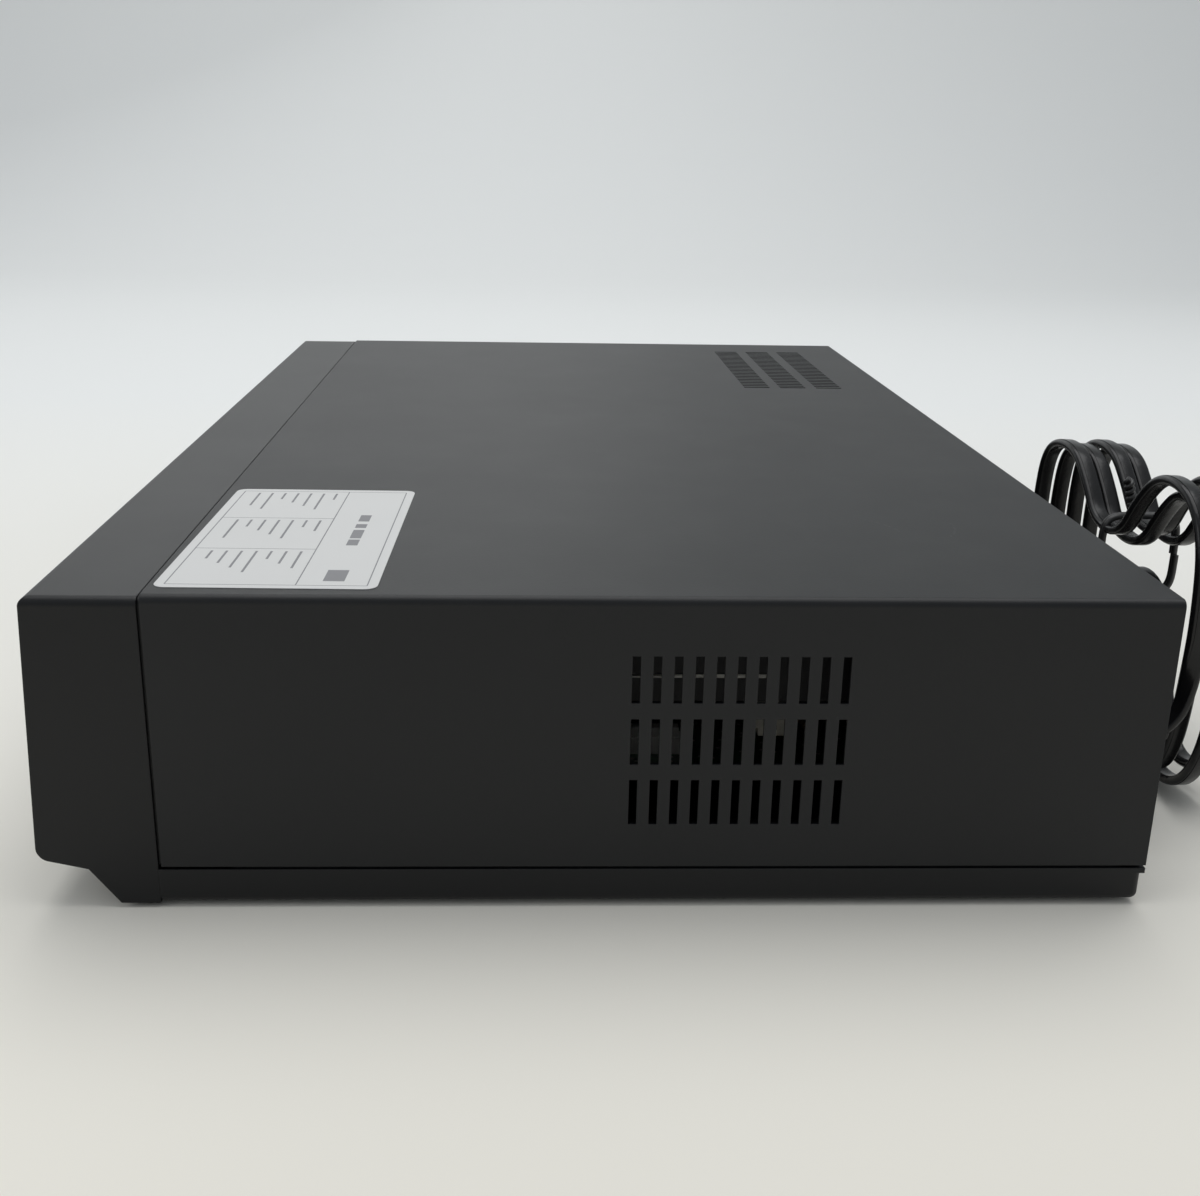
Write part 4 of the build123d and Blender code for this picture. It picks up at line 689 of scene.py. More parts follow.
def turned(origin: Point, axis: Vector, outline: list[Spot], sides: int) -> list[list[Vector]]:
    """Rings about an axis.

    Args:
        origin: A point of the axis, in millimetres.
        axis: Its direction.
        outline: Height along the axis and radius of each ring, in millimetres.
        sides: Number of sides.

    Returns:
        The rings, in metres.
    """
    turn = UPWARDS.rotation_difference(axis).to_matrix()
    return [
        [(Vector(origin) + turn @ Vector((radius * c, radius * s, along))) * MM for c, s in circle(sides)]
        for along, radius in outline
    ]


def add_turned(mesh: Shape, origin: Point, axis: Vector, outline: list[Spot], sides: int = 40) -> None:
    """Adds a closed solid of revolution; the other arguments are those of turned."""
    skin(mesh, turned(origin, axis, outline, sides))


def add_ring(
    mesh: Shape, origin: Point, axis: Vector, inner: float, outer: float, length: float, sides: int = 40
) -> None:
    """Adds a flat or long ring with slightly eased rims.

    Args:
        mesh: The mesh that gets it.
        origin: Middle of its start, in millimetres.
        axis: Direction of its length.
        inner: Inner radius, in millimetres.
        outer: Outer radius, in millimetres.
        length: Its length, in millimetres.
        sides: Number of sides.
    """
    ease = min(0.25 * (outer - inner), 0.25 * length)
    outline = [
        (0.0, inner), (0.0, outer - ease), (ease, outer), (length - ease, outer), (length, outer - ease),
        (length, inner + ease), (length - ease, inner),
    ]
    skin(mesh, turned(origin, axis, outline, sides), closed=True)


def add_box(mesh: Shape, low: Point, high: Point, rounding: float = 0.0) -> None:
    """Adds a box between two corners.

    Args:
        mesh: The mesh that gets it.
        low: Lowest corner, in millimetres.
        high: Highest corner, in millimetres.
        rounding: Bevel of its edges, in millimetres.
    """
    middle = [(a + b) / 2 for a, b in zip(low, high)]
    size = [abs(b - a) * MM for a, b in zip(low, high)]
    made = bmesh.ops.create_cube(
        mesh, size=1.0, matrix=Matrix.Translation(metres(*middle)) @ Matrix.Diagonal((*size, 1.0))
    )
    if rounding > 0.0:
        edges = {edge for vert in made["verts"] for edge in vert.link_edges}
        bmesh.ops.bevel(mesh, geom=list(edges), offset=rounding * MM, segments=2, affect="EDGES", profile=0.5)


def add_block(mesh: Shape, middle: Spot, size: Spot, low: float, high: float, rounding: float = EASE) -> None:
    """Adds an upright block from its middle, its two sides and its two heights, in millimetres."""
    (x, y), (wide, deep) = middle, size
    add_box(mesh, (x - wide / 2, y - deep / 2, low), (x + wide / 2, y + deep / 2, high), rounding)


def add_prism(mesh: Shape, corners: list[Point], push: Vector) -> None:
    """Adds a flat plate with the given corners, thickened along a vector, in millimetres."""
    skin(mesh, [[Vector(corner) * MM for corner in corners], [(Vector(corner) + push) * MM for corner in corners]])


class Repeater:
    """Geometry Nodes trees that repeat a small shape at points or along a line."""

    seed: int = 7

    def __init__(self) -> None:
        """Builds both trees."""
        self.at_points = self._tree("repeat_at_points", False)
        self.in_line = self._tree("repeat_in_line", True)

    def _tree(self, name: str, line: bool) -> bpy.types.NodeTree:
        """Builds one tree.

        Args:
            name: The tree's name.
            line: True to make the points on a line, False to take the mesh's own.

        Returns:
            The tree.
        """
        graph, given, leave = Group(name, "GeometryNodeTree", {
            "Geometry": "Geometry", "Shape": "Object", "Finish": "Material", "Count": "Int", "Step": "Vector",
            "Start": "Vector", "Turn Spread": "Float",
        }, {"Geometry": "Geometry"}).start()
        spread = given["Turn Spread"]
        low = graph.math("MULTIPLY", spread, -1.0)
        chance = graph.add("FunctionNodeRandomValue", {2: low, 3: spread, "Seed": self.seed}, data_type="FLOAT")
        turn = graph.add("ShaderNodeCombineXYZ", {"Z": chance["Value"]})
        source = graph.add("GeometryNodeObjectInfo", {"Object": given["Shape"]})
        points = given["Geometry"]
        if line:
            points = graph.add("GeometryNodeMeshLine", {
                "Count": given["Count"], "Start Location": given["Start"], "Offset": given["Step"],
            })["Mesh"]
        placed = graph.add("GeometryNodeInstanceOnPoints", {
            "Points": points, "Instance": source["Geometry"], "Rotation": turn["Vector"],
        })
        real = graph.add("GeometryNodeRealizeInstances", {"Geometry": placed["Instances"]})
        painted = graph.add(
            "GeometryNodeSetMaterial", {"Geometry": real["Geometry"], "Material": given["Finish"]}
        )
        graph.feed(leave, {"Geometry": painted["Geometry"]})
        return graph.tree

    def mesh(
        self, shape: Shape, material: bpy.types.Material, points: list[Point] | None = None, count: int = 0,
        start: Point = (0, 0, 0), step: Point = (0, 0, 0), spread: float = 0.0,
    ) -> bpy.types.Mesh:
        """Repeats a shape and bakes the result.

        Args:
            shape: The small shape about its own origin, which is used up.
            material: The finish of the result.
            points: Places in millimetres, or none for a line.
            count: How many stand in a line.
            start: First place of the line, in millimetres.
            step: From one place of the line to the next, in millimetres.
            spread: Most that each turns about Z, in degrees.

        Returns:
            The plain mesh of all of them.
        """
        model = put_in_scene("small_shape", mesh_data("small_shape", shape))
        places = bpy.data.meshes.new("places")
        places.from_pydata([metres(*point) for point in points or [(0, 0, 0)]], [], [])
        holder = put_in_scene("places", places)
        modifier = holder.modifiers.new("repeat", "NODES")
        modifier.node_group = self.at_points if points else self.in_line
        values = {
            "Shape": model, "Finish": material, "Count": count, "Step": metres(*step), "Start": metres(*start),
            "Turn Spread": math.radians(spread),
        }
        for socket in modifier.node_group.interface.items_tree:
            if socket.in_out == "INPUT" and socket.name in values:
                modifier[socket.identifier] = values[socket.name]
        graph = bpy.context.evaluated_depsgraph_get()
        result = bpy.data.meshes.new_from_object(holder.evaluated_get(graph))
        holder.modifiers.clear()
        bpy.data.objects.remove(holder)
        bpy.data.objects.remove(model)
        return result


@dataclass
class Assembly:
    """A sub-assembly, with the finishes and the repeater that it works with."""

    palette: Palette
    repeater: Repeater

    def place(
        self, name: str, data: bpy.types.Mesh, finish: str, slot: str, body: str = "case",
        replaced: tuple[str, ...] = (), crease: float = 35.0,
    ) -> bpy.types.Object:
        """Puts finished mesh data on its body as a piece.

        Args:
            name: The piece's name.
            data: Its mesh.
            finish: The name of its finish.
            slot: The name of its material slot; not used.
            body: The CAD body that it moves with.
            replaced: CAD nodes that it stands for.
            crease: Angle in degrees above which an edge stays sharp.

        Returns:
            The piece.
        """
        data.materials.clear()
        data.materials.append(self.palette[finish])
        data.shade_smooth()
        data.set_sharp_from_angle(angle=math.radians(crease))
        piece = put_in_scene(name, data)
        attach(piece, body)
        if replaced:
            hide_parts(*replaced)
        LOG.info("piece %s: %d faces on %s", name, len(data.polygons), body)
        return piece

    def piece(self, name: str, mesh: Shape, finish: str, slot: str, **rest: object) -> bpy.types.Object:
        """Turns a mesh, which is used up, into a piece; the arguments are those of place."""
        bmesh.ops.remove_doubles(mesh, verts=mesh.verts, dist=1e-7)
        return self.place(name, mesh_data(name, mesh), finish, slot, **rest)

    def copies(
        self, name: str, shape: Shape, finish: str, slot: str, points: list[Point], spread: float = 0.0,
        **rest: object,
    ) -> bpy.types.Object:
        """Makes a piece of copies of a shape; the arguments are those of place and Repeater.mesh."""
        data = self.repeater.mesh(shape, self.palette[finish], points=points, spread=spread)
        return self.place(name, data, finish, slot, **rest)


# The lead


@dataclass
class MainsLead(Assembly):
    """The flat lead with its boot, hank, tie and plug."""

    width: float = 5.6
    thick: float = 2.9
    length: float = 1.63
    start: tuple[Point, ...] = (
        (166.0, 137.0, 22.7), (166.0, 150.4, 22.7), (166.0, 159.1, 27.7), (166.0, 164.1, 36.4),
    )
    tail: tuple[Point, ...] = ((37.3, 183.3, 29.8), (29.0, 183.3, 15.5), (14.7, 183.3, 7.2), (-1.9, 183.3, 7.2))
    middle: Point = (100.0, 164.1, 60.0)
    step_in: float = 6.6
    layer: float = 6.4
    layers: int = 4
    loop: tuple[Spot, ...] = (
        (66, -22), (66, 8), (62, 25), (50, 34), (32, 34), (19, 24), (9, 10), (-9, 10), (-19, 20), (-32, 29),
        (-50, 29), (-62, 22), (-66, 6), (-66, -22), (-64, -44), (-53, -57.5), (-31, -57.5), (-18, -36), (-9, -10),
        (9, -10), (18, -36), (31, -57.5), (53, -57.5), (64, -44),
    )
    turns: float = 3.5
    twist_from: float = 0.024
    twist_over: float = 0.03
    core_sides: int = 20
    dent: float = 0.72
    boot_back: float = 2.6
    boot_length: float = 26.0
    rib: float = 0.35
    flange: tuple[Spot, ...] = (
        (0, 6.6), (0.4, 7.0), (2.0, 7.0), (2.0, 6.1), (3.0, 6.1), (3.0, 7.3), (4.4, 7.5), (5.0, 6.9), (5.4, 5.6),
    )
    tie_half: Spot = (12.0, 12.6)
    tie_square: float = 5.2
    tie_steps: int = 96
    tie_spread: float = 1.3
    tie_wire: float = 1.0
    twist_radius: float = 1.1
    twist_wire: float = 0.75
    twist_steps: int = 28
    neck_length: float = 10.0
    body_length: float = 32.0
    plug_steps: int = 63
    blade_back: float = 41.5
    blade_side: float = 6.35
    blade_half: float = 3.17
    blade_thick: float = 1.5
    blade_length: float = 17.5
    blade_ease: float = 1.5
    blade_tip: float = 2.2
    blade_hole: float = 12.5
    path: list[Vector] = field(default_factory=list)

    @staticmethod
    def level(value: float) -> float:
        """A step from 0 to 1 that starts and ends level."""
        part = min(max(value, 0.0), 1.0)
        return part * part * (3.0 - 2.0 * part)

    def hank_points(self) -> list[Point]:
        """The hank's control points.

        Returns:
            One loop, drawn in and laid beside itself turn by turn, in millimetres.
        """
        count = len(self.loop)
        found = []
        for place in range(1, int(count * self.turns) + 1):
            turn = (place - 0.5) / count
            spiral = turn % 2.0
            inward = self.step_in * min(spiral, 2.0 - spiral)
            climbed = sum(self.level((turn - climb) * 2.0 + 0.5) for climb in range(1, self.layers))
            x, z = self.loop[place % count]
            way = (Vector(self.loop[(place + 1) % count]) - Vector(self.loop[(place - 1) % count])).normalized()
            found.append((
                self.middle[0] + x - way.y * inward, self.middle[1] + self.layer * climbed,
                self.middle[2] + z + way.x * inward,
            ))
        return found

    def route(self) -> list[Vector]:
        """The lead's line: a smooth NURBS spline through the whole route.

        Returns:
            Points along it, in metres.
        """
        points = [*self.start, *self.hank_points(), *self.tail]
        curve = bpy.data.curves.new("lead_route", "CURVE")
        curve.dimensions = "3D"
        curve.resolution_u = 8
        spline = curve.splines.new("NURBS")
        spline.points.add(len(points) - 1)
        for knot, point in zip(spline.points, points):
            knot.co = (*metres(*point), 1.0)
        spline.order_u = 3
        spline.use_endpoint_u = True
        holder = put_in_scene("lead_route", curve)
        graph = bpy.context.evaluated_depsgraph_get()
        line = bpy.data.meshes.new_from_object(holder.evaluated_get(graph))
        found = [vert.co.copy() for vert in line.vertices]
        bpy.data.objects.remove(holder)
        return found

    def frames(self) -> list[tuple[Vector, Vector, Vector, float]]:
        """How the flat lead lies along its line.

        Returns:
            Place, wide direction, thin direction and distance gone at each point.
        """
        found, gone = [], 0.0
        for place, here in enumerate(self.path):
            before = self.path[max(place - 1, 0)]
            after = self.path[min(place + 1, len(self.path) - 1)]
            ahead = (after - before).normalized()
            gone += (here - before).length
            angle = math.pi / 2 * self.level((gone - self.twist_from) / self.twist_over)
            wide = Vector((math.cos(angle), math.sin(angle), 0.0))
            wide = (wide - ahead * wide.dot(ahead)).normalized()
            found.append((here, wide, ahead.cross(wide), gone))
        return found

    def section(self) -> list[Spot]:
        """The flat two-core outline.

        Returns:
            Its points in millimetres, with a dent between the cores on both sides.
        """
        radius = self.thick / 2
        core = self.width / 2 - radius
        found = [((core if c > 0 else -core) + radius * c, radius * s) for c, s in circle(self.core_sides)]
        found.insert(self.core_sides // 4, (0.0, radius * self.dent))
        found.insert(self.core_sides * 3 // 4 + 1, (0.0, -radius * self.dent))
        return found

    def build(self) -> None:
        self.path = self.route()
        mesh = bmesh.new()
        outline = self.section()
        skin(mesh, [[here + (wide * a + thin * b) * MM for a, b in outline] for here, wide, thin, _ in self.frames()])
        lead = self.piece(
            "mains_lead", mesh, "black_lead_sheath", "lead_sheath",
            replaced=("power_cord", "cord_hank", "cord_tail"), crease=60.0,
        )
        boot, tie, plug, blades = self.boot(), self.tie(), self.plug(), self.blades()
        LOG.info("lead measures %.3f m", sum((b - a).length for a, b in zip(self.path, self.path[1:])))

    def boot(self) -> bpy.types.Object:
        """The tapered, ribbed strain relief that follows the lead's first bend.

        Returns:
            The piece.
        """
        mesh = bmesh.new()
        rings = []
        for here, wide, thin, gone in self.frames():
            along = gone / MM + self.boot_back
            if along > self.boot_length:
                break
            taper = 1.0 - along / self.boot_length
            rib = self.rib * math.cos(2 * math.pi * along / 3.0)
            half_wide, half_thin = 3.4 + 2.2 * taper + rib, 2.2 + 2.6 * taper + rib
            rings.append([here + (wide * half_wide * c + thin * half_thin * s) * MM for c, s in circle(28)])
        skin(mesh, rings)
        x, _, z = self.start[0]
        add_turned(mesh, (x, PANEL_Y - 3.0, z), REARWARDS, self.flange)
        return self.piece(
            "strain_relief", mesh, "satin_black_moulding", "lead_sheath", replaced=("cord_bush",), crease=50.0
        )

    def tie(self) -> bpy.types.Object:
        """A plastic-covered wire tie, wound round the hank's waist and twisted shut.

        Returns:
            The piece.
        """
        mesh = bmesh.new()
        x, y, z = self.middle
        y += 1.5 * self.layer
        half_y, half_z = self.tie_half
        line = []
        for step in range(self.tie_steps + 1):
            angle = 4 * math.pi * step / self.tie_steps
            line.append(Vector((
                x + self.tie_spread * (2 * step / self.tie_steps - 1),
                y + half_y * squared(math.cos(angle), self.tie_square),
                z + half_z * squared(math.sin(angle), self.tie_square),
            )))
        self.wire(mesh, line, self.tie_wire)
        for phase in (0.0, math.pi):
            ends = []
            for step in range(self.twist_steps):
                angle = 2 * math.pi * step / 9.0 + phase
                ends.append(Vector((
                    x + self.twist_radius * math.cos(angle),
                    y - 3.0 + self.twist_radius * math.sin(angle) - step * 0.12, z + half_z + 0.6 + step * 0.42,
                )))
            self.wire(mesh, ends, self.twist_wire)
        return self.piece("hank_tie", mesh, "twist_tie_plastic", "tie_black", replaced=("cord_tie",), crease=60.0)

    @staticmethod
    def wire(mesh: Shape, line: list[Vector], radius: float) -> None:
        """Adds a round wire along a line.

        Args:
            mesh: The mesh that gets it.
            line: Its points, in millimetres.
            radius: Its radius, in millimetres.
        """
        rings = []
        side = RIGHTWARDS
        for place, here in enumerate(line):
            ahead = (line[min(place + 1, len(line) - 1)] - line[max(place - 1, 0)]).normalized()
            side = (side - ahead * side.dot(ahead)).normalized()
            other = ahead.cross(side)
            rings.append([(here + (side * c + other * s) * radius) * MM for c, s in circle(10)])
        skin(mesh, rings)

    def plug_size(self, along: float) -> tuple[float, float, float]:
        """The plug's outline at a distance from the lead.

        Args:
            along: The distance, in millimetres.

        Returns:
            Half width and half height in millimetres, and how square it is.
        """
        if along < self.neck_length:
            rib = self.rib * math.cos(2 * math.pi * along / 2.8)
            return 4.2 + 0.03 * along + rib, 3.7 + 0.03 * along + rib, 2.0
        part = (along - self.neck_length) / self.body_length
        swell = math.sin(min(1.0, part * 3.0) * math.pi / 2)
        ridge = self.rib * math.cos(2 * math.pi * along / 3.2) if 0.25 < part < 0.8 else 0.0
        ease = 1.0 - 0.06 * max(0.0, (part - 0.93) / 0.07)
        return (5.0 + 6.9 * swell) * ease, (4.4 + 2.4 * swell + ridge * 0.6) * ease, 2.0 + 2.4 * swell

    def plug(self) -> bpy.types.Object:
        """The moulded plug body with finger ridges and a ribbed neck.

        Returns:
            The piece.
        """
        mesh = bmesh.new()
        x, y, z = self.tail[-1]
        rings = []
        for step in range(self.plug_steps + 1):
            along = step * (self.neck_length + self.body_length) / self.plug_steps
            wide, tall, square = self.plug_size(along)
            rings.append([
                metres(x - along, y + wide * squared(c, square), z + tall * squared(s, square))
                for c, s in circle(40)
            ])
        skin(mesh, rings)
        return self.piece(
            "plug_body", mesh, "black_lead_sheath", "lead_sheath", replaced=("mains_plug",), crease=50.0
        )

    def blades(self) -> bpy.types.Object:
        """The two flat blades with their holes and eased tips.

        Returns:
            The piece.
        """
        mesh = bmesh.new()
        x, middle, z = self.tail[-1]
        back = x - self.blade_back
        tip, eased = back - self.blade_length, back - self.blade_length + self.blade_ease
        for side in (-1, 1):
            y = middle + side * self.blade_side - self.blade_thick / 2
            half, end = self.blade_half, self.blade_tip
            outline = [
                (back, y, z - half), (back, y, z + half), (eased, y, z + half), (tip, y, z + end),
                (tip, y, z - end), (eased, y, z - half),
            ]
            add_prism(mesh, outline, REARWARDS * self.blade_thick)
            add_ring(mesh, (back - self.blade_hole, y - 0.05, z), REARWARDS, 1.0, 1.6, 1.6, 20)
        return self.piece("plug_blades", mesh, "nickel_brass", "tinned_steel")


# The case


@dataclass
class CaseDetails(Assembly):
    """Pieces fixed to the outside of the case."""

    label_middle: Point = (160.5, -82.5, 81.71)
    label_half: Spot = (48.5, 26.5)
    label_corner: float = 3.0
    label_turn: float = -1.0
    label_thick: float = 0.13
    lip_screws: tuple[float, ...] = (-195.0, 10.0, 195.0)
    low_screws: tuple[float, ...] = (-203.0, -48.0, 55.0, 203.0)
    lip_screw_z: float = 76.7
    low_screw_z: float = 18.6
    screw: tuple[Spot, ...] = (
        (0, 1.4), (1.2, 1.4), (1.2, 3.0), (1.9, 3.0), (2.6, 2.6), (2.95, 1.9), (2.95, 1.75), (2.2, 1.1), (2.2, 0.2),
    )

    def build(self) -> None:
        """Builds every piece."""
        self.label()
        self.screws()

    def label(self) -> None:
        """The paper label, a thin sheet with round corners."""
        mesh = bmesh.new()
        x, y, z = self.label_middle
        round_part = self.label_corner
        half_x, half_y = (half - round_part for half in self.label_half)
        turn = Matrix.Rotation(math.radians(self.label_turn), 2)
        corners = []
        for quarter, (side_x, side_y) in enumerate(((1, 1), (-1, 1), (-1, -1), (1, -1))):
            for step in range(7):
                angle = math.pi / 2 * (quarter + step / 6)
                spot = turn @ Vector((
                    side_x * half_x + round_part * math.cos(angle), side_y * half_y + round_part * math.sin(angle),
                ))
                corners.append((x + spot.x, y + spot.y, z))
        add_prism(mesh, corners, UPWARDS * self.label_thick)
        self.piece("label_sheet", mesh, "label_paper", "label_paper", replaced=("paper_label",))

    def screws(self) -> None:
        """Cross-head screws with washers, at the rear."""
        shape = bmesh.new()
        add_turned(shape, (0, -1.2, 0), REARWARDS, self.screw, 32)
        for x, z in ((1.5, 0.16), (0.16, 1.5)):
            add_box(shape, (-x, 0.95, -z), (x, 1.5, z))
        points = [(x, REAR_Y, self.lip_screw_z) for x in self.lip_screws]
        points += [(x, PANEL_Y, self.low_screw_z) for x in self.low_screws]
        self.copies(
            "rear_screws", shape, "blackened_screw_steel", "black_screw", points, replaced=("case_screws",)
        )


class Symbol(Enum):
    """Generic marks over the keys."""

    LEFT = "left"
    RIGHT = "right"
    TWICE = "twice"
    SQUARE = "square"
    DOT = "dot"
    LIFT = "lift"
    LINE = "line"


MARK = 1.2
TO_RIGHT = [(-MARK, -MARK), (MARK, 0.0), (-MARK, MARK)]
TO_LEFT = [(MARK, MARK), (-MARK, 0.0), (MARK, -MARK)]
MARK_PARTS = {
    Symbol.LEFT: ((-MARK, 0.0, TO_LEFT), (MARK, 0.0, TO_LEFT)),
    Symbol.RIGHT: ((0.0, 0.0, TO_RIGHT),),
    Symbol.TWICE: ((-MARK, 0.0, TO_RIGHT), (MARK, 0.0, TO_RIGHT)),
    Symbol.SQUARE: ((0.0, 0.0, rectangle(MARK, MARK)),),
    Symbol.DOT: ((0.0, 0.0, [(MARK * c, MARK * s) for c, s in circle(16)]),),
    Symbol.LIFT: ((0.0, 0.5, [(-MARK, -0.7), (MARK, -0.7), (0.0, 1.0)]), (0.0, -1.0, rectangle(MARK, 0.3))),
    Symbol.LINE: ((0.0, 0.0, rectangle(0.25, 1.4)),),
}


@dataclass
class FrontFace(Assembly):
    """Details of the leaning front."""

    key_z: float = 29.0
    mark_rise: float = 7.4
    mark_sunk: float = 0.02
    mark_proud: float = 0.06
    tape_keys: Spot = (-112.0, 20.0)
    tape_marks: tuple[Symbol, ...] = (Symbol.LEFT, Symbol.RIGHT, Symbol.TWICE, Symbol.SQUARE, Symbol.DOT)
    disc_keys: Spot = (58.0, 20.0)
    disc_marks: tuple[Symbol, ...] = (Symbol.LIFT, Symbol.RIGHT, Symbol.SQUARE)
    power_mark: Spot = (-184.0, 38.0)
    digit_bar: float = 0.55
    digit_half: Spot = (3.0, 4.2)
    digit_depth: float = 7.85
    digit_pitch: float = 11.0
    digit_gap: float = 6.0
    rib_sunk: float = 0.1
    sockets: tuple[float, ...] = (150.0, 166.0, 182.0)

    def build(self) -> None:
        """Builds every piece."""
        self.symbols()
        self.digits()
        self.rib("door_rib", ((DOOR_X, 50.5, 94.0, 0.7),), 0.7, self.rib_sunk, "cassette_door")
        self.rib("tray_rib", ((DISC_X, 61.6, 68.0, 0.45),), 0.6, self.rib_sunk, "disc_tray")
        self.socket_rings()
        self.rib("key_bars", ((-72.0, 22.95, 50.0, 0.35), (78.0, 22.95, 30.0, 0.35)), 0.35, 0.0, "case")

    def symbols(self) -> None:
        """Printed marks above the keys: triangles, squares, a dot and lines."""
        mesh = bmesh.new()
        z = self.key_z + self.mark_rise
        spots = [(self.tape_keys[0] + n * self.tape_keys[1], z, mark) for n, mark in enumerate(self.tape_marks)]
        spots += [(self.disc_keys[0] + n * self.disc_keys[1], z, mark) for n, mark in enumerate(self.disc_marks)]
        for x, height, mark in [*spots, (*self.power_mark, Symbol.LINE)]:
            for off_x, off_z, outline in MARK_PARTS[mark]:
                corners = [on_face(x + off_x + a, height + off_z + b, self.mark_sunk) for a, b in outline]
                add_prism(mesh, corners, OFF_FACE * (self.mark_proud + self.mark_sunk))
        self.piece("key_marks", mesh, "printed_legend", "case_plastic")

    def digits(self) -> None:
        """Unlit seven-bar digits behind the smoked window, made from repeated bars."""
        shape = bmesh.new()
        bar, (wide, tall) = self.digit_bar, self.digit_half
        for z in (-tall, 0.0, tall):
            add_box(shape, (0.7 - wide, -0.1, z - bar / 2), (wide - 0.7, 0.1, z + bar / 2))
        for x in (-wide, wide):
            for z in (-tall / 2, tall / 2):
                add_box(shape, (x - bar / 2, -0.1, z - tall / 2 + 0.6), (x + bar / 2, 0.1, z + tall / 2 - 0.6))
        places = [DISC_X - 27.0 + n * self.digit_pitch + (self.digit_gap if n > 1 else 0.0) for n in range(4)]
        points = [on_face(x, 46.0, self.digit_depth) for x in places]
        self.copies("display_digits", shape, "unlit_phosphor", "display_glass", points)

    def rib(
        self, name: str, bars: tuple[tuple[float, ...], ...], proud: float, sunk: float, body: str
    ) -> None:
        """Adds a piece of raised bars.

        Args:
            name: The piece's name.
            bars: Middle and half size of each, in millimetres.
            proud: How far they stand out, in millimetres.
            sunk: How deep they start behind the face, in millimetres.
            body: The body that it moves with.
        """
        mesh = bmesh.new()
        for x, z, half_x, half_z in bars:
            corners = [on_face(x + a, z + b, sunk) for a, b in rectangle(half_x, half_z)]
            add_prism(mesh, corners, REARWARDS * -proud)
        self.piece(name, mesh, "gloss_black_trim", "case_plastic", body=body)

    def socket_rings(self) -> None:
        """Coloured rings and bright metal collars of the three front sockets."""
        for x, colour in zip(self.sockets, ("yellow", "white", "red")):
            mesh = bmesh.new()
            add_ring(mesh, on_face(x, self.key_z, 7.5), OFF_FACE, 4.25, 5.85, 6.3)
            self.piece(f"front_ring_{colour}", mesh, f"{colour}_socket_ring", "socket_plastic")
        mesh = bmesh.new()
        for x in self.sockets:
            add_ring(mesh, on_face(x, self.key_z, 6.2), OFF_FACE, 3.2, 4.19, 5.9)
        self.piece("front_socket_collars", mesh, "tinned_steel", "tinned_steel")


@dataclass
class RearFace(Assembly):
    """Details of the rear panel."""

    first_x: float = -130.0
    pitch: float = 14.0
    columns: int = 6
    rows: Spot = (26.0, 42.0)
    aerials: Spot = (-31.0, -9.0)
    aerial_z: float = 34.0
    thread_start: float = 1.9
    thread_pitch: float = 0.62
    threads: int = 8
    print_line: float = 0.35
    print_thick: float = 0.05
    print_boxes: tuple[tuple[float, float, float, float], ...] = (
        (-139.0, -95.0, 17.5, 52.0), (-93.0, -52.0, 17.5, 52.0), (-41.0, 1.0, 24.0, 44.0),
    )

    def build(self) -> None:
        """Builds every piece."""
        order = ("yellow", "white", "red")
        for place, colour in enumerate(order):
            points = self.spots(0.0, range(place, self.columns, len(order)))
            self.ringed(f"rear_ring_{colour}", (4.2, 5.7, 1.6), f"{colour}_socket_ring", "socket_plastic", points)
        points = self.spots(0.1, range(self.columns))
        self.ringed("rear_socket_collars", (3.3, 4.28, 6.9), "tinned_steel", "tinned_steel", points)
        points = [
            (x, PANEL_Y + self.thread_start + n * self.thread_pitch, self.aerial_z)
            for x in self.aerials for n in range(self.threads)
        ]
        self.ringed("aerial_threads", (4.4, 4.95, 0.42), "tinned_steel", "tinned_steel", points)
        points = [(x, PANEL_Y, self.aerial_z) for x in self.aerials]
        self.ringed("aerial_nuts", (4.6, 7.2, 1.7), "tinned_steel", "tinned_steel", points, 6, crease=20.0)
        self.print_frames()

    def spots(self, out: float, columns: range) -> list[Point]:
        """Places of the sockets in some columns, this far off the panel, in millimetres."""
        return [(self.first_x + col * self.pitch, PANEL_Y + out, z) for col in columns for z in self.rows]

    def ringed(
        self, name: str, ring: Point, finish: str, slot: str, points: list[Point], sides: int = 32, **rest: float
    ) -> None:
        """Adds a piece of like rings.

        Args:
            name: The piece's name.
            ring: Inner radius, outer radius and length, in millimetres.
            finish: The name of its finish.
            slot: The name of its material slot.
            points: Where each ring starts, in millimetres.
            sides: Number of sides.
            rest: Further arguments of place.
        """
        shape = bmesh.new()
        add_ring(shape, (0, 0, 0), REARWARDS, *ring, sides)
        self.copies(name, shape, finish, slot, points, **rest)

    def print_frames(self) -> None:
        """Printed outline boxes round the groups of sockets."""
        mesh = bmesh.new()
        line = self.print_line
        for left, right, low, high in self.print_boxes:
            for a, b, c, d in (
                (left, right, low, low + line), (left, right, high - line, high),
                (left, left + line, low + line, high - line), (right - line, right, low + line, high - line),
            ):
                add_box(mesh, (a, PANEL_Y, c), (b, PANEL_Y + self.print_thick, d))
        self.piece("panel_print", mesh, "printed_legend", "label_paper")


# The inside


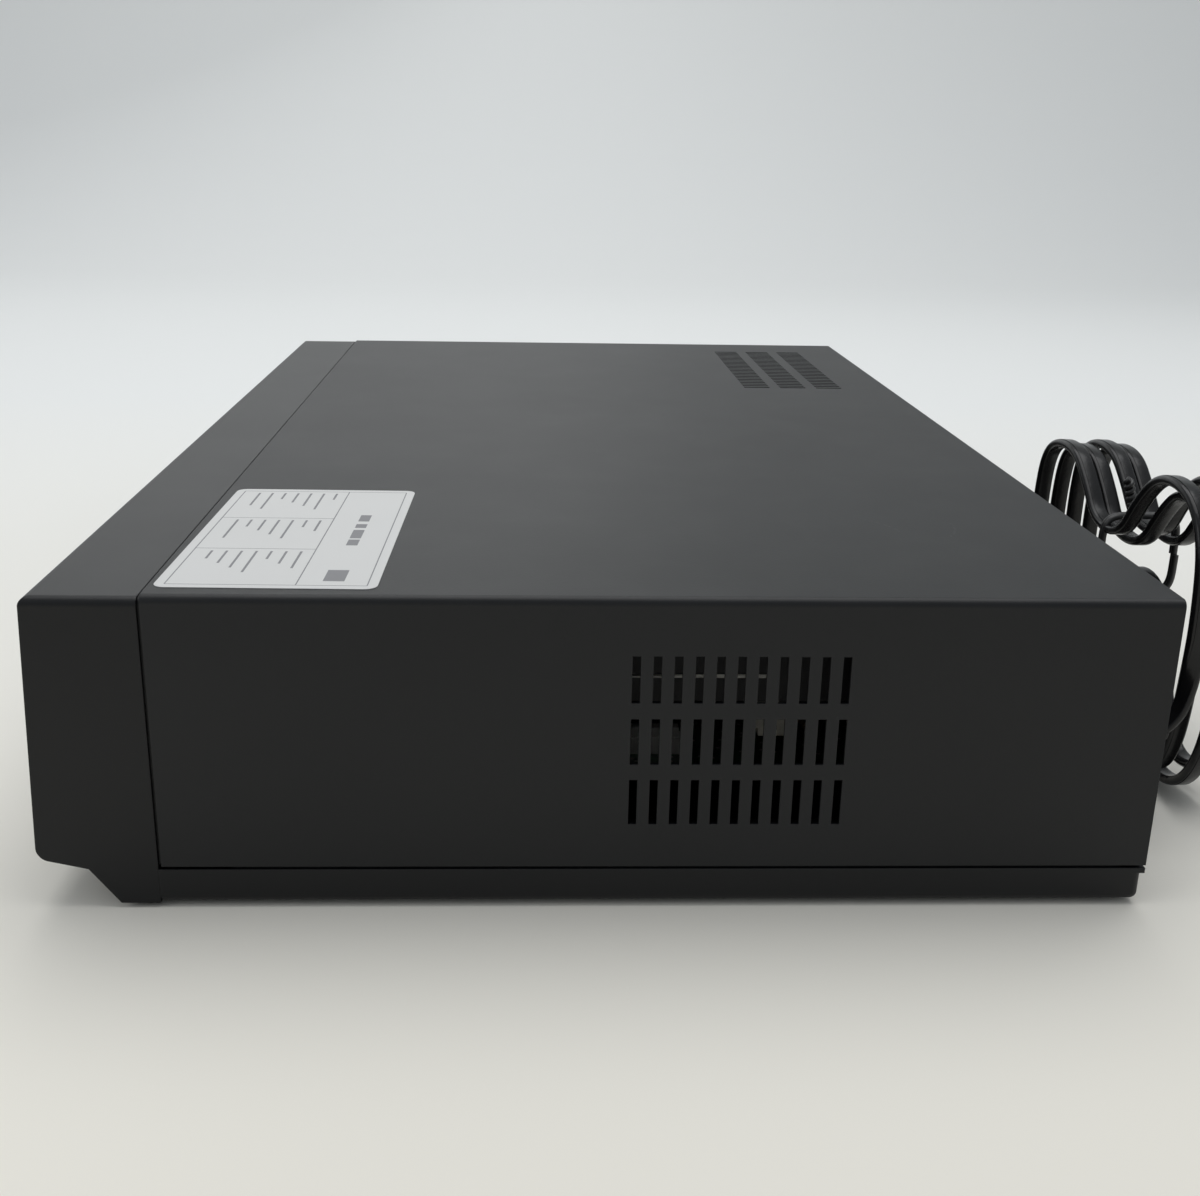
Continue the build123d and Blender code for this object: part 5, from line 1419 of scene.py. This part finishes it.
@dataclass
class Mechanisms(Assembly):
    """Details of the tape deck and the disc loader."""

    drum_y: float = behind(181.0)
    disc_y: float = behind(88.0)
    lens_y: float = behind(115.0)
    reel_y: float = behind(92.0)
    reel_side: float = 45.0
    reel_rim: float = 18.9
    centre: tuple[Spot, ...] = ((0, 5.4), (0.5, 5.4), (0.75, 5.0), (0.75, 1.4), (0.5, 1.0), (0.5, 0.2))
    drum_screw: tuple[Spot, ...] = ((0, 2.6), (0.9, 2.6), (1.3, 2.2), (1.3, 0.9), (0.8, 0.6))
    rest_pad: tuple[Spot, ...] = ((0, 2.0), (0.25, 2.0), (0.4, 1.7), (0.4, 0.3))

    def build(self) -> None:
        """Builds every piece."""
        self.turntable()
        self.lens()
        self.drum()
        self.reels()
        shape = bmesh.new()
        add_turned(shape, (0, 0, 0), UPWARDS, self.rest_pad, 20)
        points = around((DISC_X, self.disc_y, 66.2), 55.0, (200, 250, 290, 340))
        self.copies("disc_rest_pads", shape, "black_rubber", "rubber", points, body="disc_tray")

    def turntable(self) -> None:
        """The rubber ring and steel centre of the turntable."""
        mesh = bmesh.new()
        add_ring(mesh, (DISC_X, self.disc_y, 66.9), UPWARDS, 9.0, 13.4, 0.4, 48)
        self.piece("turntable_pad", mesh, "black_rubber", "rubber", body="turntable")
        mesh = bmesh.new()
        add_turned(mesh, (DISC_X, self.disc_y, 68.7), UPWARDS, self.centre)
        self.piece("turntable_centre", mesh, "tinned_steel", "tinned_steel", body="turntable")

    def lens(self) -> None:
        """The pickup's small domed lens."""
        mesh = bmesh.new()
        tall, radius = 1.2, 3.0
        angles = [n * math.pi / 16 for n in range(1, 8)]
        dome = [(0.0, radius)] + [(tall * math.sin(a), radius * math.cos(a)) for a in angles]
        add_turned(mesh, (DISC_X, self.lens_y, 63.5), UPWARDS, dome, 32)
        self.piece("pickup_lens", mesh, "pickup_lens", "display_glass", body="pickup")

    def drum(self) -> None:
        """The guide step round the lower drum, and the screws on top of the upper one."""
        mesh = bmesh.new()
        add_ring(mesh, (DOOR_X, self.drum_y, 24.0), UPWARDS, 30.6, 31.6, 2.0, 72)
        self.piece("drum_step", mesh, "turned_aluminium", "aluminium")
        shape = bmesh.new()
        add_turned(shape, (0, 0, 0), UPWARDS, self.drum_screw, 24)
        points = around((DOOR_X, self.drum_y, 52.4), 14.0, range(0, 360, 90))
        self.copies("drum_screws", shape, "tinned_steel", "tinned_steel", points, body="upper_drum")

    def reels(self) -> None:
        """Notched rims of the two reel tables."""
        for body, side in (("supply_reel", -1), ("takeup_reel", 1)):
            shape = bmesh.new()
            add_box(shape, (-0.35, -0.35, 0.4), (0.35, 0.35, 3.4), 0.1)
            middle = (DOOR_X + side * self.reel_side, self.reel_y, 21.6)
            points = around(middle, self.reel_rim, range(0, 360, 6))
            self.copies(f"{body}_rim", shape, "dark_mechanism_moulding", "black_moulding", points, body=body)


@dataclass
class Electronics(Assembly):
    """What stands on the boards, seen through the vents and openings."""

    power_y: float = behind(244.0)
    power_x: float = 92.0
    chip_sizes: tuple[tuple[float, float, float, float, float], ...] = (
        (62.0, 96.0, 28.0, 28.0, 2.6), (112.0, 122.0, 20.0, 20.0, 2.4), (140.0, 78.0, 18.0, 10.0, 2.0),
    )
    pin_pitch: float = 1.6
    pin_half: float = 0.3
    can: tuple[Spot, ...] = (
        (0, 4.6), (0.5, 5.0), (2.0, 5.0), (2.4, 4.7), (2.8, 5.0), (19.0, 5.0), (19.5, 4.7), (19.5, 3.9),
        (19.3, 3.8), (19.3, 0.3),
    )
    resistor: tuple[Spot, ...] = (
        (0, 0.7), (0.3, 1.1), (1.4, 1.1), (1.7, 0.9), (4.3, 0.9), (4.6, 1.1), (5.7, 1.1), (6.0, 0.7),
    )
    resistor_z: float = 1.2
    resistor_turn: float = 9.0
    connector_sizes: tuple[tuple[float, float, float, float], ...] = (
        (150.0, 150.0, 6.0, 26.0), (36.0, 180.0, 22.0, 6.0), (96.0, 190.0, 30.0, 6.0),
    )
    connector_wall: float = 1.2
    fins: int = 5
    fin_pitch: float = 7.68
    fin_tall: float = 36.0
    sink_left: float = 114.8
    filter_off: Spot = (74.0, 96.0)
    filter_can: tuple[Spot, ...] = (
        (0, 9.9), (0.5, 10.2), (3.0, 10.2), (3.5, 10.05), (4.0, 10.2), (29.2, 10.2), (30.1, 9.6), (30.1, 8.0),
        (30.0, 0.4),
    )

    def build(self) -> None:
        """Builds every piece."""
        self.chips()
        self.cans()
        self.resistors()
        self.connectors()
        self.heat_sink()
        mesh = bmesh.new()
        add_block(mesh, (self.power_x, self.power_y), (36.4, 18.8), BOARD_TOP + 5.4, BOARD_TOP + 22.6, 1.5)
        self.piece("winding_tape", mesh, "yellow_winding_tape", "transformer_iron")
        mesh = bmesh.new()
        for off in self.filter_off:
            add_turned(mesh, (self.power_x + off, self.power_y, BOARD_TOP + 0.2), UPWARDS, self.filter_can)
        self.piece("filter_cans", mesh, "capacitor_sleeve", "chip_black")

    def chips(self) -> None:
        """Chip bodies with eased edges, and their rows of pins."""
        mesh, pins = bmesh.new(), bmesh.new()
        for x, back, wide, deep, tall in self.chip_sizes:
            y = behind(back)
            add_block(mesh, (x, y), (wide, deep), BOARD_TOP + 0.3, BOARD_TOP + tall)
            count = int(wide / self.pin_pitch)
            for n in range(count):
                pin = x + (n - (count - 1) / 2) * self.pin_pitch
                for side in (-1, 1):
                    middle = (pin, y + side * (deep / 2 + 0.2))
                    add_block(pins, middle, (2 * self.pin_half, 1.0), BOARD_TOP, BOARD_TOP + 0.5, 0.0)
        self.piece("chips", mesh, "chip_moulding", "chip_black", replaced=("circuit_parts",))
        self.piece("chip_pins", pins, "tinned_steel", "tinned_steel")

    def cans(self) -> None:
        """Small sleeved cans on the main board and its strip."""
        shape = bmesh.new()
        add_turned(shape, (0, 0, 0), UPWARDS, self.can, 28)
        points = [(84.0 + n * 14.0, behind(154.0), BOARD_TOP) for n in range(4)]
        points += [(-170.0 + n * 18.0, behind(242.0), BOARD_TOP) for n in range(2)]
        self.copies("small_cans", shape, "capacitor_sleeve", "chip_black", points)

    def resistors(self) -> None:
        """Rows of small resistors, a little out of line as hands leave them."""
        shape = bmesh.new()
        add_turned(shape, (-3.0, 0, self.resistor_z), RIGHTWARDS, self.resistor, 14)
        add_turned(shape, (-4.6, 0, self.resistor_z), RIGHTWARDS, [(0, 0.25), (9.2, 0.25)], 8)
        points = [
            (x, behind(back), BOARD_TOP)
            for x in (40.0, 54.0, 92.0, 132.0) for back in (48.0, 52.0, 56.0, 138.0, 142.0, 198.0, 202.0)
        ]
        points += [(-120.0 + n * 13.0, behind(232.0 + 4.0 * (n % 3)), BOARD_TOP) for n in range(5)]
        points += [(124.0 + n * 11.0, behind(256.0), BOARD_TOP) for n in range(5)]
        self.copies("resistors", shape, "resistor_lacquer", "circuit_board", points, spread=self.resistor_turn)

    def connectors(self) -> None:
        """White wire connectors, each a socket with its plug standing in it."""
        mesh = bmesh.new()
        wall = 2 * self.connector_wall
        for x, back, wide, deep in self.connector_sizes:
            middle = (x, behind(back))
            add_block(mesh, middle, (wide, deep), BOARD_TOP, BOARD_TOP + 5.0)
            add_block(mesh, middle, (wide - wall, deep - wall), BOARD_TOP + 4.5, BOARD_TOP + 8.0)
        self.piece("board_connectors", mesh, "natural_nylon", "white_moulding")

    def heat_sink(self) -> None:
        """The power stage's heat sink: its fins follow a pitch along a plate."""
        shape = bmesh.new()
        for high in ((0.8, 8.0, self.fin_tall), (6.8, -4.8, self.fin_tall)):
            add_box(shape, (-0.8, -8.0, 0.0), high, 0.2)
        data = self.repeater.mesh(
            shape, self.palette["turned_aluminium"], count=self.fins, start=(self.sink_left, self.power_y, BOARD_TOP),
            step=(self.fin_pitch, 0, 0),
        )
        self.place("heat_sink_fins", data, "turned_aluminium", "aluminium", replaced=("heat_sink",))


@dataclass
class SideWiring(Assembly):
    """The flat cable and the plug block on the disc loader, seen through the side vents."""

    side: float = DISC_X + 73.0
    front: float = -12.0
    back: float = 43.0
    low: float = 52.6
    high: float = 53.6
    fall: float = 7.0
    thick: float = 0.3
    board_end: float = 152.0
    cores: int = 7
    pins: int = 4
    pin_pitch: float = 2.4

    def build(self) -> None:
        """Builds the cable with its cores, and the block under the loader."""
        mesh = bmesh.new()
        x, board, inner = self.side + 0.1, BOARD_TOP + 0.1, self.front + self.fall
        middle, outer = x + self.thick, x + 2 * self.thick
        add_box(mesh, (x, self.front, self.low), (middle, self.back, self.high), 0.08)
        add_box(mesh, (middle, self.front, board), (outer, inner, self.high), 0.08)
        add_box(mesh, (self.board_end, self.front, board), (outer, inner, board + self.thick), 0.08)
        for core in range(self.cores):
            y = self.front + 0.5 + core
            add_box(mesh, (outer, y - 0.2, board), (outer + 0.12, y + 0.2, self.high))
        self.piece("flat_cable", mesh, "natural_nylon", "white_moulding")
        block = bmesh.new()
        add_box(block, (self.side - 8.5, 38.0, 38.5), (self.side + 0.5, 48.0, 45.9), 0.4)
        add_box(block, (self.side - 7.5, 39.0, 36.0), (self.side - 0.5, 47.0, 38.5), 0.3)
        for pin in range(self.pins):
            y = 39.4 + pin * self.pin_pitch
            add_box(block, (self.side + 0.5, y - 0.7, 39.4), (self.side + 0.9, y + 0.7, 45.0))
        self.piece("side_plug", block, "aged_nylon", "white_moulding")


# The studio


@dataclass(frozen=True)
class Lamp:
    """A soft rectangular lamp, with its places and sides in metres and its power in watts."""

    name: str
    place: Point
    target: Point
    size: Spot
    power: float

    def build(self) -> None:
        """Hangs the lamp."""
        data = bpy.data.lights.new(self.name, "AREA")
        data.shape = "RECTANGLE"
        data.size, data.size_y = self.size
        data.energy = self.power
        thing = put_in_scene(self.name, data)
        thing.location = self.place
        thing.rotation_mode = "QUATERNION"
        thing.rotation_quaternion = (Vector(self.target) - Vector(self.place)).to_track_quat("-Z", "Y")


@dataclass
class Studio:
    """Floor, backdrop, lamps and the camera at the photograph's angle."""

    eye: Point = (527.5, -20.6, 184.05)
    yaw: float = 2.182
    pitch: float = 18.319
    roll: float = 0.981
    lens: float = 42.267
    shift: Spot = (0.0159, 0.0042)
    lamps: tuple[Lamp, ...] = (
        Lamp("overhead", (-0.3, 0.1, 1.7), (0.0, 0.0, 0.0), (1.8, 1.8), 20.0),
        Lamp("front_left", (0.7, -1.3, 0.9), (0.0, 0.0, 0.05), (0.8, 0.8), 3.0),
        Lamp("sheen", (-1.5, -0.7, 0.85), (0.0, 0.0, 0.08), (2.0, 0.7), 2.4),
    )
    floor_spots: tuple[Spot, ...] = ((8.0, 0.0), (0.6, 0.0), (0.0, 0.0), (-0.8, 0.0), (-1.3, 0.0))
    bend_radius: float = 0.7
    backdrop_top: Spot = (-2.0, 2.4)
    half_wide: float = 8.0
    warm: Colour = (0.88, 0.85, 0.77)
    cool: Colour = (0.83, 0.84, 0.83)
    drift: Spot = (0.32, -0.5)
    sky: Colour = (0.9, 0.95, 1.0)
    sky_strength: float = 0.4
    beyond: Colour = (0.29, 0.31, 0.315)

    def build(self) -> None:
        """Builds everything that isn't part of the object."""
        self.camera()
        self.sweep()
        for lamp in self.lamps:
            lamp.build()
        self.world()

    def camera(self) -> None:
        """The camera, at the fitted place and angle."""
        yaw, pitch, roll = (math.radians(value) for value in (self.yaw, self.pitch, self.roll))
        ahead = Vector((-math.cos(pitch) * math.cos(yaw), math.cos(pitch) * math.sin(yaw), -math.sin(pitch)))
        level = Vector((math.sin(yaw), math.cos(yaw), 0.0))
        right = level * math.cos(roll) + level.cross(ahead) * math.sin(roll)
        up = right.cross(ahead)
        data = bpy.data.cameras.new("camera")
        data.lens = self.lens
        data.sensor_width = 36.0
        data.shift_x, data.shift_y = self.shift
        data.clip_start = 0.01
        eye = put_in_scene("camera", data)
        eye.matrix_world = Matrix.Translation(metres(*self.eye)) @ Matrix((right, up, -ahead)).transposed().to_4x4()
        bpy.context.scene.camera = eye

    def sweep(self) -> None:
        """A floor that curves up into a backdrop, warm near the camera and cool far off."""
        mesh = bmesh.new()
        start, bend = self.floor_spots[-1][0], self.bend_radius
        angles = [math.pi / 2 * step / 12 for step in range(1, 13)]
        curve = [(start - bend * math.sin(angle), bend - bend * math.cos(angle)) for angle in angles]
        profile = [*self.floor_spots, *curve, self.backdrop_top]
        left, right = ([mesh.verts.new((x, y, z)) for x, z in profile] for y in (-self.half_wide, self.half_wide))
        for n in range(len(profile) - 1):
            mesh.faces.new((left[n], right[n], right[n + 1], left[n + 1]))
        data = mesh_data("floor", mesh)
        data.shade_smooth()
        floor = put_in_scene("floor", data)
        data.materials.append(self.paper())

    def paper(self) -> bpy.types.Material:
        """The floor's matt paper.

        Returns:
            Its material.
        """
        made = bpy.data.materials.new("studio_paper")
        made.use_nodes = True
        graph = Graph(made.node_tree)
        place = graph.add("ShaderNodeTexCoord")["Object"]
        along = graph.ramp(graph.add("ShaderNodeSeparateXYZ", {"Vector": place})["X"], *self.drift)
        tint = graph.add("ShaderNodeMix", {"Factor": along, "A": self.warm, "B": self.cool}, data_type="RGBA")
        graph.feed(made.node_tree.nodes["Principled BSDF"], {
            "Roughness": 0.7, "Specular IOR Level": 0.2, "Base Color": tint["Result"],
        })
        return made

    def world(self) -> None:
        """Even pale surroundings, which the camera sees in another colour."""
        world = bpy.data.worlds.new("studio")
        world.use_nodes = True
        bpy.context.scene.world = world
        graph, nodes = Graph(world.node_tree), world.node_tree.nodes
        graph.feed(nodes["Background"], {"Color": self.sky, "Strength": self.sky_strength})
        mix = graph.add("ShaderNodeMixShader", {
            "Fac": graph.add("ShaderNodeLightPath")["Is Camera Ray"], 1: nodes["Background"].outputs[0],
            2: graph.add("ShaderNodeBackground", {"Color": self.beyond})["Background"],
        })
        graph.feed(nodes["World Output"], {"Surface": mix["Shader"]})


def corners(pair: tuple[Vector, Vector]) -> list[list[float]]:
    """Two corners as plain lists."""
    return [list(corner) for corner in pair]


def main() -> None:
    """Builds the whole scene in order."""
    logging.basicConfig(level=logging.INFO)
    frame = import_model()
    bpy.context.scene.view_settings.view_transform = "Standard"
    palette = Palette()
    repeater = Repeater()
    Studio().build()
    palette.dress(frame["nodes"])
    for assembly in (MainsLead, CaseDetails, FrontFace, RearFace, Mechanisms, Electronics, SideWiring):
        assembly(palette, repeater).build()
        LOG.info("built %s", assembly.__name__)


if __name__ == "__main__":
    main()
